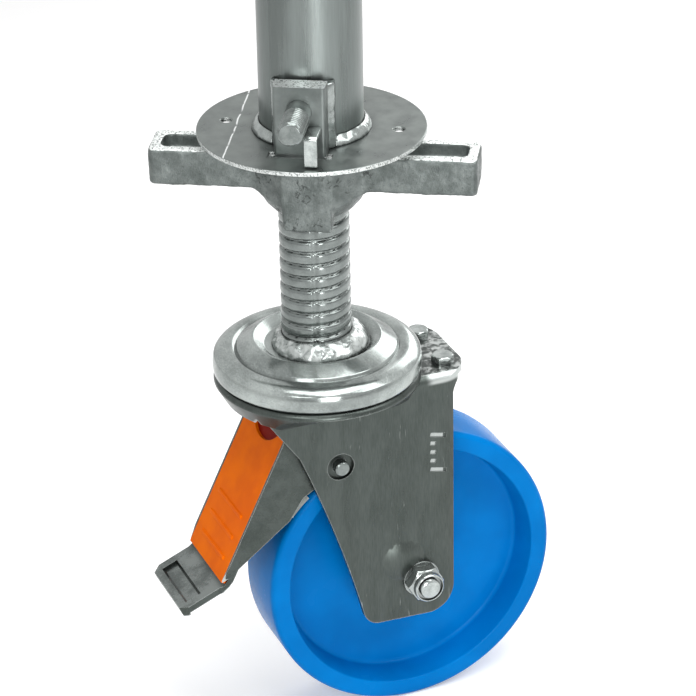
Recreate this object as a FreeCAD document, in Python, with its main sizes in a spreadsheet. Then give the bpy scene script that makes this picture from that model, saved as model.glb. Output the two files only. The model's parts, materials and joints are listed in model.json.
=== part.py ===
import FreeCAD, Part
import math
import os
from types import SimpleNamespace

import Sketcher
from FreeCAD import Placement, Rotation, Vector

# Scaffold castor: an upright tube on a round collar, a winged adjusting nut, a threaded
# spindle, a ball bearing swivel head, a pressed fork, a wheel and a treadle brake.
# Millimetres. The spindle axis is Z and the collar's upper face is z = 0. The wheel's axle
# lies along Y on the +X side, and the brake lever is on the -X side.

# Driving dimensions
SIZES = {
    # Upright tube with its collar, lug and lock pin
    "tube_radius": 32.5,
    "tube_wall": 3.0,
    "tube_height": 150.0,
    "foot_weld_width": 5.0,
    "foot_weld_height": 6.5,
    "foot_weld_crown": 1.0,
    "collar_radius": 71.7,
    "collar_thickness": 3.0,
    "collar_hole_radius": 3.75,
    "collar_hole_circle": 54.5,
    "right_hole_azimuth": -30.0,
    "left_hole_azimuth": 145.6,
    "lug_azimuth": -120.5,
    "lug_face": 48.0,
    "lug_depth": 12.5,
    "lug_width": 32.0,
    "lug_height": 45.0,
    "lug_edge_radius": 2.0,
    "foot_tab_depth": 5.0,
    "slot_length": 39.0,
    "slot_width": 8.0,
    "slot_lead": 2.5,
    "lug_weld_width": 3.5,
    "lug_weld_stop": 2.0,
    "pin_radius": 8.0,
    "pin_level": 29.0,
    "pin_tip": 83.0,
    "pin_entry": 3.0,
    "pin_chamfer": 1.6,
    "grip_pitch": 2.5,
    "grip_depth": 0.7,
    "grip_count": 9,
    "keeper_reach": 18.0,
    "keeper_width": 8.0,
    "keeper_offset": 9.5,
    "keeper_thickness": 3.0,
    "keeper_level": 20.5,
    "keeper_foot_gap": 1.0,
    "tab_gap": 0.2,
    # Clearances
    "run_gap": 0.05,
    "lift_gap": 0.3,
    "side_gap": 1.0,
    "ball_gap": 0.1,
    # Wing nut and its retaining ring
    "wing_azimuth": -30.0,
    "wing_span": 101.5,
    "wing_near_span": 104.5,
    "wing_width": 33.0,
    "wing_height": 24.0,
    "wing_drop": 9.7,
    "wing_corner": 4.0,
    "wing_edge": 1.8,
    "pocket_width": 19.0,
    "pocket_length": 44.0,
    "pocket_margin": 7.0,
    "pocket_depth": 9.0,
    "pocket_corner": 5.0,
    "neck_wall": 4.4,
    "neck_groove": 2.0,
    "ring_height": 2.5,
    "ring_width": 4.2,
    "neck_lip": 3.0,
    "nut_shoulder": 36.0,
    "nut_belly": 38.5,
    "nut_belly_rise": 6.0,
    "nut_waist": 34.0,
    "nut_waist_drop": 3.6,
    "nut_hem": 30.0,
    "nut_hem_drop": 10.3,
    "nut_length": 50.0,
    "nut_foot": 24.5,
    "nut_flank": 12.5,
    "boss_width": 31.0,
    "boss_reach": 29.0,
    "boss_drop": 6.3,
    # Spindle
    "crest_radius": 22.5,
    "thread_depth": 1.6,
    "thread_pitch": 8.5,
    "root_land": 6.6,
    "crest_land": 4.4,
    "spindle_bore": 15.0,
    "spindle_top": 60.0,
    "plain_length": 15.0,
    "thread_end": 4.5,
    "thread_sunk": 0.5,
    "keyway_width": 2.8,
    "keyway_azimuth": -112.0,
    "dish_drop": 149.5,
    "bead_width": 10.5,
    "bead_height": 11.0,
    "bead_toe": 2.5,
    # Swivel head
    "head_wall": 4.0,
    "dish_radius": 34.0,
    "rim_radius": 41.0,
    "rim_height": 5.1,
    "ridge_radius": 51.4,
    "crest_circle": 58.0,
    "head_radius": 68.0,
    "head_depth": 18.0,
    "lip_wall": 5.5,
    "press_bend": 2.0,
    "under_rim": 0.5,
    "under_rim_drop": 4.8,
    "under_ridge_drop": 3.4,
    "ceiling_corner": 2.5,
    "hem_inset": 2.2,
    "hem_curve": 20.0,
    "shoulder_inset": 1.6,
    "shoulder_height": 12.0,
    "shoulder_curve": 11.0,
    "crest_drop": 1.5,
    "crest_curve": 8.0,
    "groove_width": 1.0,
    "groove_drop": 2.7,
    "ridge_drop": 0.7,
    "rim_land": 1.0,
    "rim_ease": 0.4,
    "rim_curve": 2.0,
    # Kingpin, balls and lower cup
    "kingpin_radius": 8.0,
    "kingpin_head_radius": 13.5,
    "kingpin_head_height": 6.5,
    "kingpin_nut_flats": 24.0,
    "kingpin_nut_height": 11.0,
    "kingpin_end": 3.0,
    "kingpin_chamfer": 1.0,
    "race_circle": 55.5,
    "race_ball_count": 22,
    "crown_step": 0.7,
    "race_rise": 13.0,
    "lower_ball_radius": 4.0,
    "lower_circle": 19.6,
    "lower_ball_count": 12,
    "cup_wall": 3.5,
    "cup_chamfer": 1.5,
    # Fork
    "fork_half_width": 37.0,
    "fork_plate": 4.5,
    "fork_shoulder": 6.0,
    "crown_rise": 2.8,
    "bowl_radius": 67.0,
    "bowl_edge": 2.5,
    "bowl_edge_drop": 1.5,
    "bowl_edge_curve": 4.0,
    "bowl_draft": 6.0,
    "bowl_curve": 60.0,
    "skirt_drop": 12.0,
    "bowl_depth": 41.0,
    "crown_front": 56.0,
    "crown_slope": 8.0,
    "crown_wall": 2.0,
    "neck_front": 27.7,
    "neck_drop": 40.6,
    "neck_curve": 900.0,
    "flare_drop": 15.0,
    "flare_curve": 34.0,
    "trail": 55.0,
    "axle_drop": 147.5,
    "foot_front": 40.0,
    "foot_rear": 24.7,
    "foot_height": 16.5,
    "foot_drop": 29.0,
    "foot_corner": 12.0,
    "foot_toe": 9.0,
    "foot_ease": 1.0,
    "foot_heel": 17.0,
    "foot_heel_curve": 20.4,
    "shelf_rear": 92.0,
    "shelf_flare": 15.6,
    "shelf_flare_curve": 15.0,
    "shelf_lip": 4.0,
    "shelf_lip_drop": 1.0,
    "shelf_corner": 20.0,
    "shelf_bolt_rear": 13.0,
    "shelf_bolt_half": 20.0,
    "shelf_bolt_radius": 4.0,
    "shelf_bolt_flats": 13.0,
    "shelf_bolt_head": 5.0,
    "shelf_nut_height": 6.5,
    "dimple_radius": 15.5,
    "dimple_height": 3.6,
    "dimple_lead": 12.2,
    "dimple_lift": 15.5,
    "mark_length": 11.5,
    "mark_height": 2.9,
    "mark_depth": 0.5,
    "mark_tilt": 12.5,
    "mark_rear": 11.5,
    "mark_drop": 44.0,
    "mark_pitch": 6.4,
    "mark_count": 5,
    # Axle set
    "axle_radius": 7.0,
    "axle_flats": 22.0,
    "axle_head_height": 9.0,
    "nut_hex_height": 9.5,
    "nut_crown_height": 4.5,
    "nut_crown_radius": 10.2,
    "nut_mouth_radius": 8.8,
    "nut_mouth_depth": 2.0,
    "axle_end": 1.5,
    "axle_chamfer": 1.0,
    "washer_radius": 12.6,
    "washer_thickness": 2.5,
    "sleeve_radius": 10.0,
    "cap_radius": 22.0,
    "cap_thickness": 1.8,
    # Wheel and its roller bearing
    "wheel_radius": 100.0,
    "wheel_width": 48.0,
    "tread_corner": 4.0,
    "rim_face": 13.0,
    "rim_draft": 3.0,
    "web_thickness": 7.0,
    "web_corner": 3.0,
    "hub_radius": 24.0,
    "hub_flare": 3.0,
    "hub_gap": 0.6,
    "bearing_radius": 15.0,
    "roller_radius": 2.4,
    "roller_count": 10,
    "roller_length": 48.0,
    "cage_end": 4.0,
    "cage_bar": 0.7,
    # Leaf spring under the shelf
    "leaf_thickness": 2.5,
    "leaf_width": 24.0,
    "leaf_tab_width": 51.0,
    "leaf_bend": 29.0,
    "leaf_tip": 6.0,
    "leaf_inset": 2.0,
    "leaf_bend_shift": 0.8,
    "leaf_tab_slope": 6.0,
    # Brake lever
    "pivot_drop": 52.0,
    "pivot_pin_radius": 5.0,
    "pivot_pin_end": 4.0,
    "pivot_chamfer": 0.8,
    "pivot_recess_radius": 9.2,
    "pivot_recess_depth": 2.5,
    "pivot_tube_radius": 9.0,
    "lever_eye_radius": 13.0,
    "lever_plate": 4.0,
    "lever_rim": 1.8,
    "web_angle": 64.0,
    "web_offset": 42.6,
    "web_top": 11.2,
    "web_bottom": 100.8,
    "throat_back": 15.0,
    "throat_drop": 15.0,
    "heel_back": 24.0,
    "heel_drop": 20.0,
    "belly_back": 33.7,
    "belly_drop": 34.8,
    "foot_angle": 23.0,
    "foot_length": 32.0,
    "foot_thickness": 4.5,
    "foot_half_width": 29.0,
    "foot_round": 6.0,
    "foot_lip": 1.5,
    "foot_tip_step": 1.0,
    "foot_bend": 3.0,
    "web_bend": 5.0,
    "panel_start": 15.0,
    "panel_end": 26.5,
    "panel_half": 23.0,
    "panel_depth": 2.2,
    "panel_slope": 1.5,
    "lever_swing": 5.0,
    "shoe_thickness": 10.0,
    "shoe_start": 130.5,
    "shoe_sweep": 9.5,
    "shoe_contact": 0.3,
    # Pedal pad
    "pad_thickness": 3.0,
    "pad_start": 1.5,
    "notch_radius": 25.0,
    "notch_rise": 8.0,
    "notch_depth": 2.0,
    "rib_half_length": 20.0,
    "rib_width": 2.5,
    "rib_height": 1.0,
    "rib_pitch": 15.1,
    "rib_start": 12.0,
    "rib_count": 3,
}

doc = FreeCAD.newDocument("scaffold_castor")
sheet = doc.addObject("Spreadsheet::Sheet", "Sizes")
for row, (alias, number) in enumerate(SIZES.items(), start=1):
    sheet.set(f"A{row}", alias)
    sheet.set(f"B{row}", str(number))
    sheet.setAlias(f"B{row}", alias)
doc.recompute()


class Size:
    """A number together with the sheet expression that it comes from."""

    def __init__(self, value, text):
        self.value = value
        self.text = text

    def __add__(self, other):
        other = as_size(other)
        return Size(self.value + other.value, f"({self.text} + {other.text})")

    def __sub__(self, other):
        other = as_size(other)
        return Size(self.value - other.value, f"({self.text} - {other.text})")

    def __mul__(self, other):
        other = as_size(other)
        return Size(self.value * other.value, f"({self.text} * {other.text})")

    def __truediv__(self, other):
        other = as_size(other)
        return Size(self.value / other.value, f"({self.text} / {other.text})")

    def __neg__(self):
        return Size(-self.value, f"(0 - {self.text})")

    def __radd__(self, other):
        return as_size(other) + self

    def __rsub__(self, other):
        return as_size(other) - self

    def __rmul__(self, other):
        return as_size(other) * self


def as_size(number):
    return number if isinstance(number, Size) else Size(number, f"({number})")


def cosine(angle):
    return Size(math.cos(math.radians(angle.value)), f"cos({angle.text})")


def sine(angle):
    return Size(math.sin(math.radians(angle.value)), f"sin({angle.text})")


def root(size):
    return Size(math.sqrt(size.value), f"sqrt({size.text})")


S = SimpleNamespace(**{alias: Size(number, f"Sizes.{alias}") for alias, number in SIZES.items()})

# Heights that several pieces share
DISH_Z = -S.dish_drop
CROWN_Z = DISH_Z - S.head_depth - S.crown_step
SHELF_Z = CROWN_Z - S.crown_rise
SHELF_UNDER_Z = SHELF_Z - S.fork_plate
CROWN_UNDER_Z = CROWN_Z - S.fork_plate
AXLE_Z = SHELF_Z - S.axle_drop
PIVOT_Z = SHELF_Z - S.pivot_drop
FORK_INNER = S.fork_half_width - S.fork_plate
NECK_RADIUS = S.crest_radius + S.run_gap + S.neck_wall
BORE_RADIUS = NECK_RADIUS + S.run_gap
THROUGH = 200.0
NEAR = 0.01

UPRIGHT = Rotation()
XZ_PLANE = Rotation(Vector(1, 0, 0), 90)
YZ_PLANE = Rotation(Vector(1, 1, 1), 120)
ALONG_Y = Rotation(Vector(1, 0, 0), -90)


# Sketches and solids
def bind(thing, path, size):
    thing.setExpression(path, as_size(size).text)


def circle(x, y, radius):
    return ("circle", x, y, radius)


def box(x0, y0, x1, y1):
    return [(x0, y0), (x1, y0), (x1, y1), (x0, y1)]


def pin_point(sketch, geometry, end, x, y):
    """Hold one point of a sketch at bound coordinates."""
    for kind, size in (("DistanceX", as_size(x)), ("DistanceY", as_size(y))):
        held = sketch.addConstraint(Sketcher.Constraint(kind, -1, 1, geometry, end, size.value))
        bind(sketch, f"Constraints[{held}]", size)


def arc_through(start, finish, radius, side):
    """The short arc between two points, its centre on the left (side 1) or right (side -1)."""
    chord = finish - start
    left = Vector(-chord.y, chord.x, 0) / chord.Length
    rise = math.sqrt(max(radius ** 2 - (chord.Length / 2) ** 2, 0.0))
    centre = (start + finish) / 2 + left * (rise * side)
    first, last = (start, finish) if side > 0 else (finish, start)
    from_angle = math.atan2(first.y - centre.y, first.x - centre.x)
    to_angle = math.atan2(last.y - centre.y, last.x - centre.x)
    return Part.ArcOfCircle(Part.Circle(centre, Vector(0, 0, 1), radius), from_angle, to_angle)


def draw_outline(sketch, corners):
    """A closed outline of lines, and of arcs where a corner also gives a radius and a side."""
    first = sketch.GeometryCount
    count = len(corners)
    points = [Vector(as_size(c[0]).value, as_size(c[1]).value, 0) for c in corners]
    starts = []
    for i, corner in enumerate(corners):
        start, finish = points[i], points[(i + 1) % count]
        if len(corner) == 2:
            sketch.addGeometry(Part.LineSegment(start, finish))
            starts.append(1)
        else:
            radius, side = as_size(corner[2]), corner[3]
            geometry = sketch.addGeometry(arc_through(start, finish, radius.value, side))
            held = sketch.addConstraint(Sketcher.Constraint("Radius", geometry, radius.value))
            bind(sketch, f"Constraints[{held}]", radius)
            starts.append(1 if side > 0 else 2)
    for i, corner in enumerate(corners):
        after = (i + 1) % count
        finish = 3 - starts[i]
        join = Sketcher.Constraint("Coincident", first + i, finish, first + after, starts[after])
        sketch.addConstraint(join)
        pin_point(sketch, first + i, starts[i], corner[0], corner[1])


def draw_circle(sketch, x, y, radius):
    centre = Vector(as_size(x).value, as_size(y).value, 0)
    radius = as_size(radius)
    geometry = sketch.addGeometry(Part.Circle(centre, Vector(0, 0, 1), radius.value))
    held = sketch.addConstraint(Sketcher.Constraint("Radius", geometry, radius.value))
    bind(sketch, f"Constraints[{held}]", radius)
    pin_point(sketch, geometry, 3, x, y)


def fill_sketch(sketch, loops):
    for loop in loops:
        if loop[0] == "circle":
            draw_circle(sketch, *loop[1:])
        else:
            draw_outline(sketch, loop)
    return sketch


def new_body(label):
    body = doc.addObject("PartDesign::Body", label)
    body.Label = label
    return body


def body_sketch(body, role, loops, offset=0.0):
    plane = next(f for f in body.Origin.OriginFeatures if f.Role == role)
    sketch = body.newObject("Sketcher::SketchObject", f"{body.Label}_outline")
    sketch.AttachmentSupport = [(plane, "")]
    sketch.MapMode = "FlatFace"
    bind(sketch, "AttachmentOffset.Base.z", offset)
    return fill_sketch(sketch, loops)


def revolve(body, outline):
    """Turn an outline of (radius, height) points about the body's Z axis."""
    sketch = body_sketch(body, "XZ_Plane", [outline])
    turn = body.newObject("PartDesign::Revolution", f"{body.Label}_turned")
    turn.Profile = (sketch, [""])
    turn.ReferenceAxis = (sketch, ["V_Axis"])
    turn.Angle = 360
    body.Tip = turn
    return body


def pad(body, loops, low, high):
    """A plate between two heights along the body's Z axis."""
    sketch = body_sketch(body, "XY_Plane", loops, low)
    plate = body.newObject("PartDesign::Pad", f"{body.Label}_plate")
    plate.Profile = (sketch, [""])
    bind(plate, "Length", as_size(high) - low)
    body.Tip = plate
    return body


def pocket(body, loops, low, high):
    """Cut a plate's shape between two heights along the body's Z axis."""
    sketch = body_sketch(body, "XY_Plane", loops, high)
    cut = body.newObject("PartDesign::Pocket", f"{body.Label}_cut")
    cut.Profile = (sketch, [""])
    bind(cut, "Length", as_size(high) - low)
    body.Tip = cut
    return body


def side_pocket(body, role, loops):
    """Cut right through the body along Y or X."""
    sketch = body_sketch(body, role, loops)
    cut = body.newObject("PartDesign::Pocket", f"{body.Label}_bore")
    cut.Profile = (sketch, [""])
    cut.SideType = "Symmetric"
    bind(cut, "Length", 2 * THROUGH)
    body.Tip = cut
    return body


def place(thing, x=0.0, y=0.0, z=0.0, rotation=UPRIGHT):
    thing.Placement = Placement(Vector(), rotation)
    bind(thing, "Placement.Base.x", x)
    bind(thing, "Placement.Base.y", y)
    bind(thing, "Placement.Base.z", z)
    return thing


def turn_to(thing, azimuth):
    """Swing a piece drawn along +X round the spindle axis."""
    thing.Placement = Placement(Vector(), Rotation(Vector(0, 0, 1), azimuth.value))
    bind(thing, "Placement.Rotation.Angle", azimuth)
    return thing


def hexagon(flats, x=0.0, y=0.0):
    corner = flats / root(as_size(3.0))
    points = []
    for step in range(6):
        angle = as_size(60.0 * step)
        points.append((x + corner * cosine(angle), y + corner * sine(angle)))
    return points


def extrude(name, loops, depth, plane=XZ_PLANE, low=None):
    """A standalone plate: centred on its plane, or from a height up where one is given."""
    sketch = doc.addObject("Sketcher::SketchObject", f"{name}_outline")
    sketch.Placement = Placement(Vector(), plane)
    fill_sketch(sketch, loops)
    solid = doc.addObject("Part::Extrusion", name)
    solid.Base = sketch
    solid.DirMode = "Normal"
    solid.Solid = True
    solid.Symmetric = low is None
    bind(solid, "LengthFwd", depth)
    if low is not None:
        bind(sketch, "Placement.Base.z", low)
    return solid


def turned(name, outline, x=0.0, z=0.0, along_y=False):
    """A standalone solid turned about a Z axis, or about a Y axis through (x, z)."""
    sketch = doc.addObject("Sketcher::SketchObject", f"{name}_outline")
    sketch.Placement = Placement(Vector(), XZ_PLANE)
    fill_sketch(sketch, [outline])
    solid = doc.addObject("Part::Revolution", name)
    solid.Source = sketch
    solid.Axis = (0, 0, 1)
    solid.Angle = 360
    solid.Solid = True
    if along_y:
        place(solid, x=x, z=z, rotation=ALONG_Y)
    return solid


def rod(name, radius, half_length, x, z, y=0.0):
    """A cylinder along Y, centred on the point (x, y, z)."""
    solid = doc.addObject("Part::Cylinder", name)
    bind(solid, "Radius", radius)
    bind(solid, "Height", 2 * as_size(half_length))
    return place(solid, x=x, y=y - half_length, z=z, rotation=ALONG_Y)


def post(name, radius, low, high, x=0.0, y=0.0):
    """A cylinder along Z between two heights."""
    solid = doc.addObject("Part::Cylinder", name)
    bind(solid, "Radius", radius)
    bind(solid, "Height", as_size(high) - low)
    return place(solid, x=x, y=y, z=low)


def brick(name, x0, y0, z0, x1, y1, z1):
    solid = doc.addObject("Part::Box", name)
    bind(solid, "Length", as_size(x1) - x0)
    bind(solid, "Width", as_size(y1) - y0)
    bind(solid, "Height", as_size(z1) - z0)
    return place(solid, x=x0, y=y0, z=z0)


def join(name, parts):
    fused = doc.addObject("Part::MultiFuse", name)
    fused.Shapes = parts
    fused.Label = name
    return fused


def overlap(name, parts):
    common = doc.addObject("Part::MultiCommon", name)
    common.Shapes = parts
    common.Label = name
    return common


def subtract(name, base, tools):
    cut = doc.addObject("Part::Cut", name)
    cut.Base = base
    cut.Tool = tools[0] if len(tools) == 1 else join(f"{name}_tools", tools)
    cut.Label = name
    return cut


def group(label, parts):
    """Several like pieces that share one node."""
    pieces = doc.addObject("Part::Compound", label)
    pieces.Links = parts
    pieces.Label = label
    return pieces


def ball_row(label, radius, circle_radius, height, count):
    balls = []
    for step in range(int(count.value)):
        angle = as_size(360.0 / count.value * step)
        ball = doc.addObject("Part::Sphere", f"{label}_{step}")
        bind(ball, "Radius", radius)
        balls.append(place(ball, circle_radius * cosine(angle), circle_radius * sine(angle), height))
    return group(label, balls)


# Upright tube, drilled for the lock pin
def upright_tube():
    inner = S.tube_radius - S.tube_wall
    tube = revolve(new_body("upright_tube"), [
        (inner, 0), (S.tube_radius, 0), (S.tube_radius, S.tube_height), (inner, S.tube_height)])
    sketch = body_sketch(tube, "YZ_Plane", [circle(0, S.pin_level, S.pin_radius + S.run_gap)])
    hole = tube.newObject("PartDesign::Pocket", "pin_hole")
    hole.Profile = (sketch, [""])
    hole.Reversed = True
    bind(hole, "Length", S.tube_radius + S.lug_depth)
    tube.Tip = hole
    return turn_to(tube, S.lug_azimuth)


# Round collar plate with its two holes and the slot for the lug's tab
def collar_disc():
    disc = revolve(new_body("collar_disc"), [
        (BORE_RADIUS, -S.collar_thickness), (S.collar_radius, -S.collar_thickness),
        (S.collar_radius, 0), (BORE_RADIUS, 0)])
    holes = []
    for azimuth in (S.right_hole_azimuth, S.left_hole_azimuth):
        turn = azimuth - S.lug_azimuth
        x = S.collar_hole_circle * cosine(turn)
        y = S.collar_hole_circle * sine(turn)
        holes.append(circle(x, y, S.collar_hole_radius))
    slot_out = S.lug_face + S.slot_lead
    half = S.slot_length / 2
    holes.append(box(slot_out - S.slot_width, -half, slot_out, half))
    pocket(disc, holes, -2 * S.collar_thickness, S.collar_thickness)
    return turn_to(disc, S.lug_azimuth)


# Weld bead round the tube's foot, cut short at the lug
def foot_weld():
    bead_radius = S.tube_radius + S.foot_weld_width
    bead = turned("foot_bead", [
        (S.tube_radius, 0), (bead_radius, 0, S.foot_weld_width * 2, 1),
        (S.tube_radius + S.foot_weld_crown, S.foot_weld_height), (S.tube_radius, S.foot_weld_height)])
    half = S.lug_width / 2 + S.lug_weld_width
    gap = brick("foot_gap_block", 0, -half, -1, 2 * S.lug_face, half, 2 * S.lug_height)
    return subtract("foot_weld", bead, [turn_to(group("foot_gap", [gap]), S.lug_azimuth)])


# Lug on the tube that carries the lock pin, with a tab in the collar's slot
def lock_bracket():
    half = S.lug_width / 2
    back = S.lug_face - S.lug_depth
    lug = pad(new_body("lock_bracket"), [[
        (back, -half), (S.lug_face - S.lug_edge_radius, -half, S.lug_edge_radius, 1),
        (S.lug_face, S.lug_edge_radius - half),
        (S.lug_face, half - S.lug_edge_radius, S.lug_edge_radius, 1),
        (S.lug_face - S.lug_edge_radius, half), (back, half)]], 0, S.lug_height)
    pad(lug, [box(S.lug_face - S.foot_tab_depth, -half, S.lug_face - S.tab_gap, half)],
        -S.collar_thickness, 0)
    side_pocket(lug, "YZ_Plane", [circle(0, S.pin_level, S.pin_radius + S.run_gap)])
    return turn_to(lug, S.lug_azimuth)


# Two upright beads that close the gap between the lug and the round tube
def lug_welds():
    back = S.lug_face - S.lug_depth
    half = S.lug_width / 2
    inner = half - S.lug_weld_width
    beads = []
    for side, name in ((1, "left"), (-1, "right")):
        outline = [(0, side * inner), (back, side * inner), (back, side * half),
                   (back - S.lug_weld_width, side * (half + S.lug_weld_width)),
                   (0, side * (half + S.lug_weld_width))]
        block = extrude(f"{name}_weld_block", [outline], S.lug_height - S.lug_weld_stop, UPRIGHT, 0)
        core = post(f"{name}_weld_core", S.tube_radius, -1, S.lug_height)
        beads.append(subtract(f"{name}_bead", block, [core]))
    return turn_to(group("lug_welds", beads), S.lug_azimuth)


# Keeper strip bent down in front of the lug, beside the pin
def lock_keeper():
    start = S.lug_face
    end = S.lug_face + S.keeper_reach
    top = S.keeper_level
    half = S.keeper_width / 2
    outline = [(start, top - S.keeper_thickness), (end - S.keeper_thickness, top - S.keeper_thickness),
               (end - S.keeper_thickness, S.keeper_foot_gap), (end, S.keeper_foot_gap),
               (end, top - S.keeper_thickness, S.keeper_thickness, 1),
               (end - S.keeper_thickness, top), (start, top)]
    strip = extrude("keeper_strip", [outline], 2 * half)
    strip.Placement = Placement(Vector(), UPRIGHT)
    bind(strip, "Placement.Base.y", S.keeper_offset)
    return turn_to(group("lock_keeper", [strip]), S.lug_azimuth)


# Sliding lock pin with a ringed grip and a chamfered tip
def lock_pin():
    start = S.tube_radius - S.tube_wall - S.pin_entry
    outline = [(0, start), (S.pin_radius, start)]
    grip_start = S.pin_tip - S.pin_chamfer - S.grip_pitch * S.grip_count
    for step in range(int(S.grip_count.value)):
        low = grip_start + S.grip_pitch * step
        outline.append((S.pin_radius, low))
        outline.append((S.pin_radius - S.grip_depth, low + S.grip_pitch / 2))
    outline.append((S.pin_radius, S.pin_tip - S.pin_chamfer))
    outline.append((S.pin_radius - S.pin_chamfer, S.pin_tip))
    outline.append((0, S.pin_tip))
    pin = turned("pin_rod", outline)
    lying = Rotation(Vector(0, 1, 0), 90)
    pin.Placement = Placement(Vector(), lying)
    bind(pin, "Placement.Base.z", S.pin_level)
    return turn_to(group("lock_pin", [pin]), S.lug_azimuth)


# Cast wing nut: neck through the collar, hub with flat sides, two arms with pockets, two flat bosses
def wing_nut():
    bore = S.crest_radius + S.run_gap
    under = -S.collar_thickness - S.lift_gap
    groove_low = S.lift_gap
    groove_high = groove_low + S.ring_height + 2 * S.run_gap
    neck_top = groove_high + S.neck_lip
    wing_top = under - S.wing_drop
    wing_low = wing_top - S.wing_height
    foot = under - S.nut_length
    neck = turned("nut_neck", [
        (bore, under - S.nut_belly_rise), (NECK_RADIUS, under - S.nut_belly_rise),
        (NECK_RADIUS, groove_low), (NECK_RADIUS - S.neck_groove, groove_low),
        (NECK_RADIUS - S.neck_groove, groove_high), (NECK_RADIUS, groove_high),
        (NECK_RADIUS, neck_top), (bore, neck_top)])
    round_hub = turned("nut_round_hub", [
        (bore, foot), (S.nut_foot, foot), (S.nut_hem, wing_low - S.nut_hem_drop),
        (S.nut_waist, wing_low - S.nut_waist_drop), (S.nut_belly, wing_low),
        (S.nut_belly, wing_top - S.nut_belly_rise), (S.nut_shoulder, under), (bore, under)])
    flat = S.boss_width / 2
    front = S.boss_reach
    flank = S.nut_flank
    plan = extrude("nut_plan", [[
        (-flat, -front), (flat, -front), (S.nut_belly, -flank), (S.nut_belly, flank), (flat, front),
        (-flat, front), (-S.nut_belly, flank), (-S.nut_belly, -flank)]], S.nut_length, UPRIGHT, foot)
    hub = overlap("nut_hub", [round_hub, plan])
    half = S.wing_width / 2
    corner = S.wing_corner
    span = S.wing_span
    near_span = S.wing_near_span
    bar = pad(new_body("nut_bar"), [[
        (corner - span, -half), (near_span - corner, -half, corner, 1), (near_span, corner - half),
        (near_span, half - corner, corner, 1), (near_span - corner, half),
        (corner - span, half, corner, 1), (-span, half - corner),
        (-span, corner - half, corner, 1)]], wing_low, wing_top)
    pockets = []
    side_round = S.pocket_corner
    for side, reach in ((1, near_span), (-1, span)):
        far = side * (reach - S.pocket_margin)
        near = side * (reach - S.pocket_margin - S.pocket_length)
        cut = side * S.pocket_corner
        wide = S.pocket_width / 2
        pockets.append([
            (near, -wide), (far - cut, -wide, side_round, side), (far, S.pocket_corner - wide),
            (far, wide - S.pocket_corner, side_round, side), (far - cut, wide), (near, wide)])
    pocket(bar, pockets, wing_top - S.pocket_depth, wing_top + 1)
    doc.recompute()
    edge_names = []
    for index, edge in enumerate(bar.Shape.Edges, start=1):
        level = edge.BoundBox.ZLength < NEAR
        at_outside = any(abs(abs(v.Y) - half.value) < NEAR or v.X > near_span.value - NEAR
                         or v.X < NEAR - span.value for v in edge.Vertexes)
        if level and at_outside:
            edge_names.append(f"Edge{index}")
    sharp = bar.Tip
    soft = bar.newObject("PartDesign::Fillet", "nut_bar_soft")
    soft.Base = (sharp, edge_names)
    bind(soft, "Radius", S.wing_edge)
    bar.Tip = soft
    boss_low = foot - S.boss_drop
    boss = brick("nut_boss", -flat, -front, boss_low, flat, front, under)
    bore_tool = post("nut_bore", bore, boss_low - 1, neck_top + 1)
    whole = subtract("wing_nut", join("nut_blank", [hub, neck, bar, boss]), [bore_tool])
    return turn_to(whole, S.wing_azimuth)


# Ring in the neck's groove, which rests on the collar and carries the spindle
def retaining_ring():
    inner = NECK_RADIUS - S.neck_groove
    low = S.lift_gap + S.run_gap
    high = low + S.ring_height
    return revolve(new_body("retaining_ring"), [
        (inner, low), (inner + S.ring_width, low), (inner + S.ring_width, high), (inner, high)])


# Threaded hollow spindle with a keyway down its length
def spindle():
    bottom = DISH_Z.value
    thread_low = bottom + S.plain_length.value
    ridge_length = S.spindle_top.value - thread_low - 2 * S.thread_end.value
    core_radius = S.crest_radius.value - S.thread_depth.value
    sunk = S.thread_sunk.value
    flank = (S.root_land.value - S.crest_land.value) / 2 / S.thread_depth.value
    foot_half = S.root_land.value / 2 + sunk * flank
    crest_half = S.crest_land.value / 2
    section = [
        Vector(core_radius - sunk, 0, -foot_half), Vector(S.crest_radius.value, 0, -crest_half),
        Vector(S.crest_radius.value, 0, crest_half), Vector(core_radius - sunk, 0, foot_half)]
    helix = Part.makeHelix(S.thread_pitch.value, ridge_length, core_radius)
    sweep = Part.BRepOffsetAPI.MakePipeShell(Part.Wire(helix.Edges))
    sweep.setFrenetMode(True)
    sweep.add(Part.makePolygon(section + [section[0]]))
    sweep.build()
    sweep.makeSolid()
    ridge = sweep.shape()
    ridge.translate(Vector(0, 0, thread_low + S.thread_end.value))
    height = S.spindle_top.value - bottom
    core = Part.makeCylinder(core_radius, height, Vector(0, 0, bottom))
    shank = Part.makeCylinder(S.crest_radius.value, S.plain_length.value, Vector(0, 0, bottom))
    hollow = Part.makeCylinder(S.spindle_bore.value, height, Vector(0, 0, bottom))
    width = S.keyway_width.value
    key = Part.makeBox(S.crest_radius.value, width, 2 * height,
                       Vector(core_radius, -width / 2, thread_low))
    key.rotate(Vector(), Vector(0, 0, 1), S.keyway_azimuth.value)
    shape = core.fuse(ridge).cut(key).fuse(shank).cut(hollow)
    feature = doc.addObject("Part::Feature", "spindle")
    feature.Label = "spindle"
    feature.Shape = shape.Solids[0]
    feature.Placement = Placement()
    return feature


# Weld bead between the spindle and the head
def spindle_weld():
    inner = S.crest_radius
    outer = inner + S.bead_width
    top = DISH_Z + S.bead_height
    return revolve(new_body("spindle_weld"), [
        (inner, DISH_Z), (outer, DISH_Z), (outer, DISH_Z + S.bead_toe, S.bead_height * 2, 1),
        (inner + S.bead_toe, top), (inner, top)])


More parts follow.
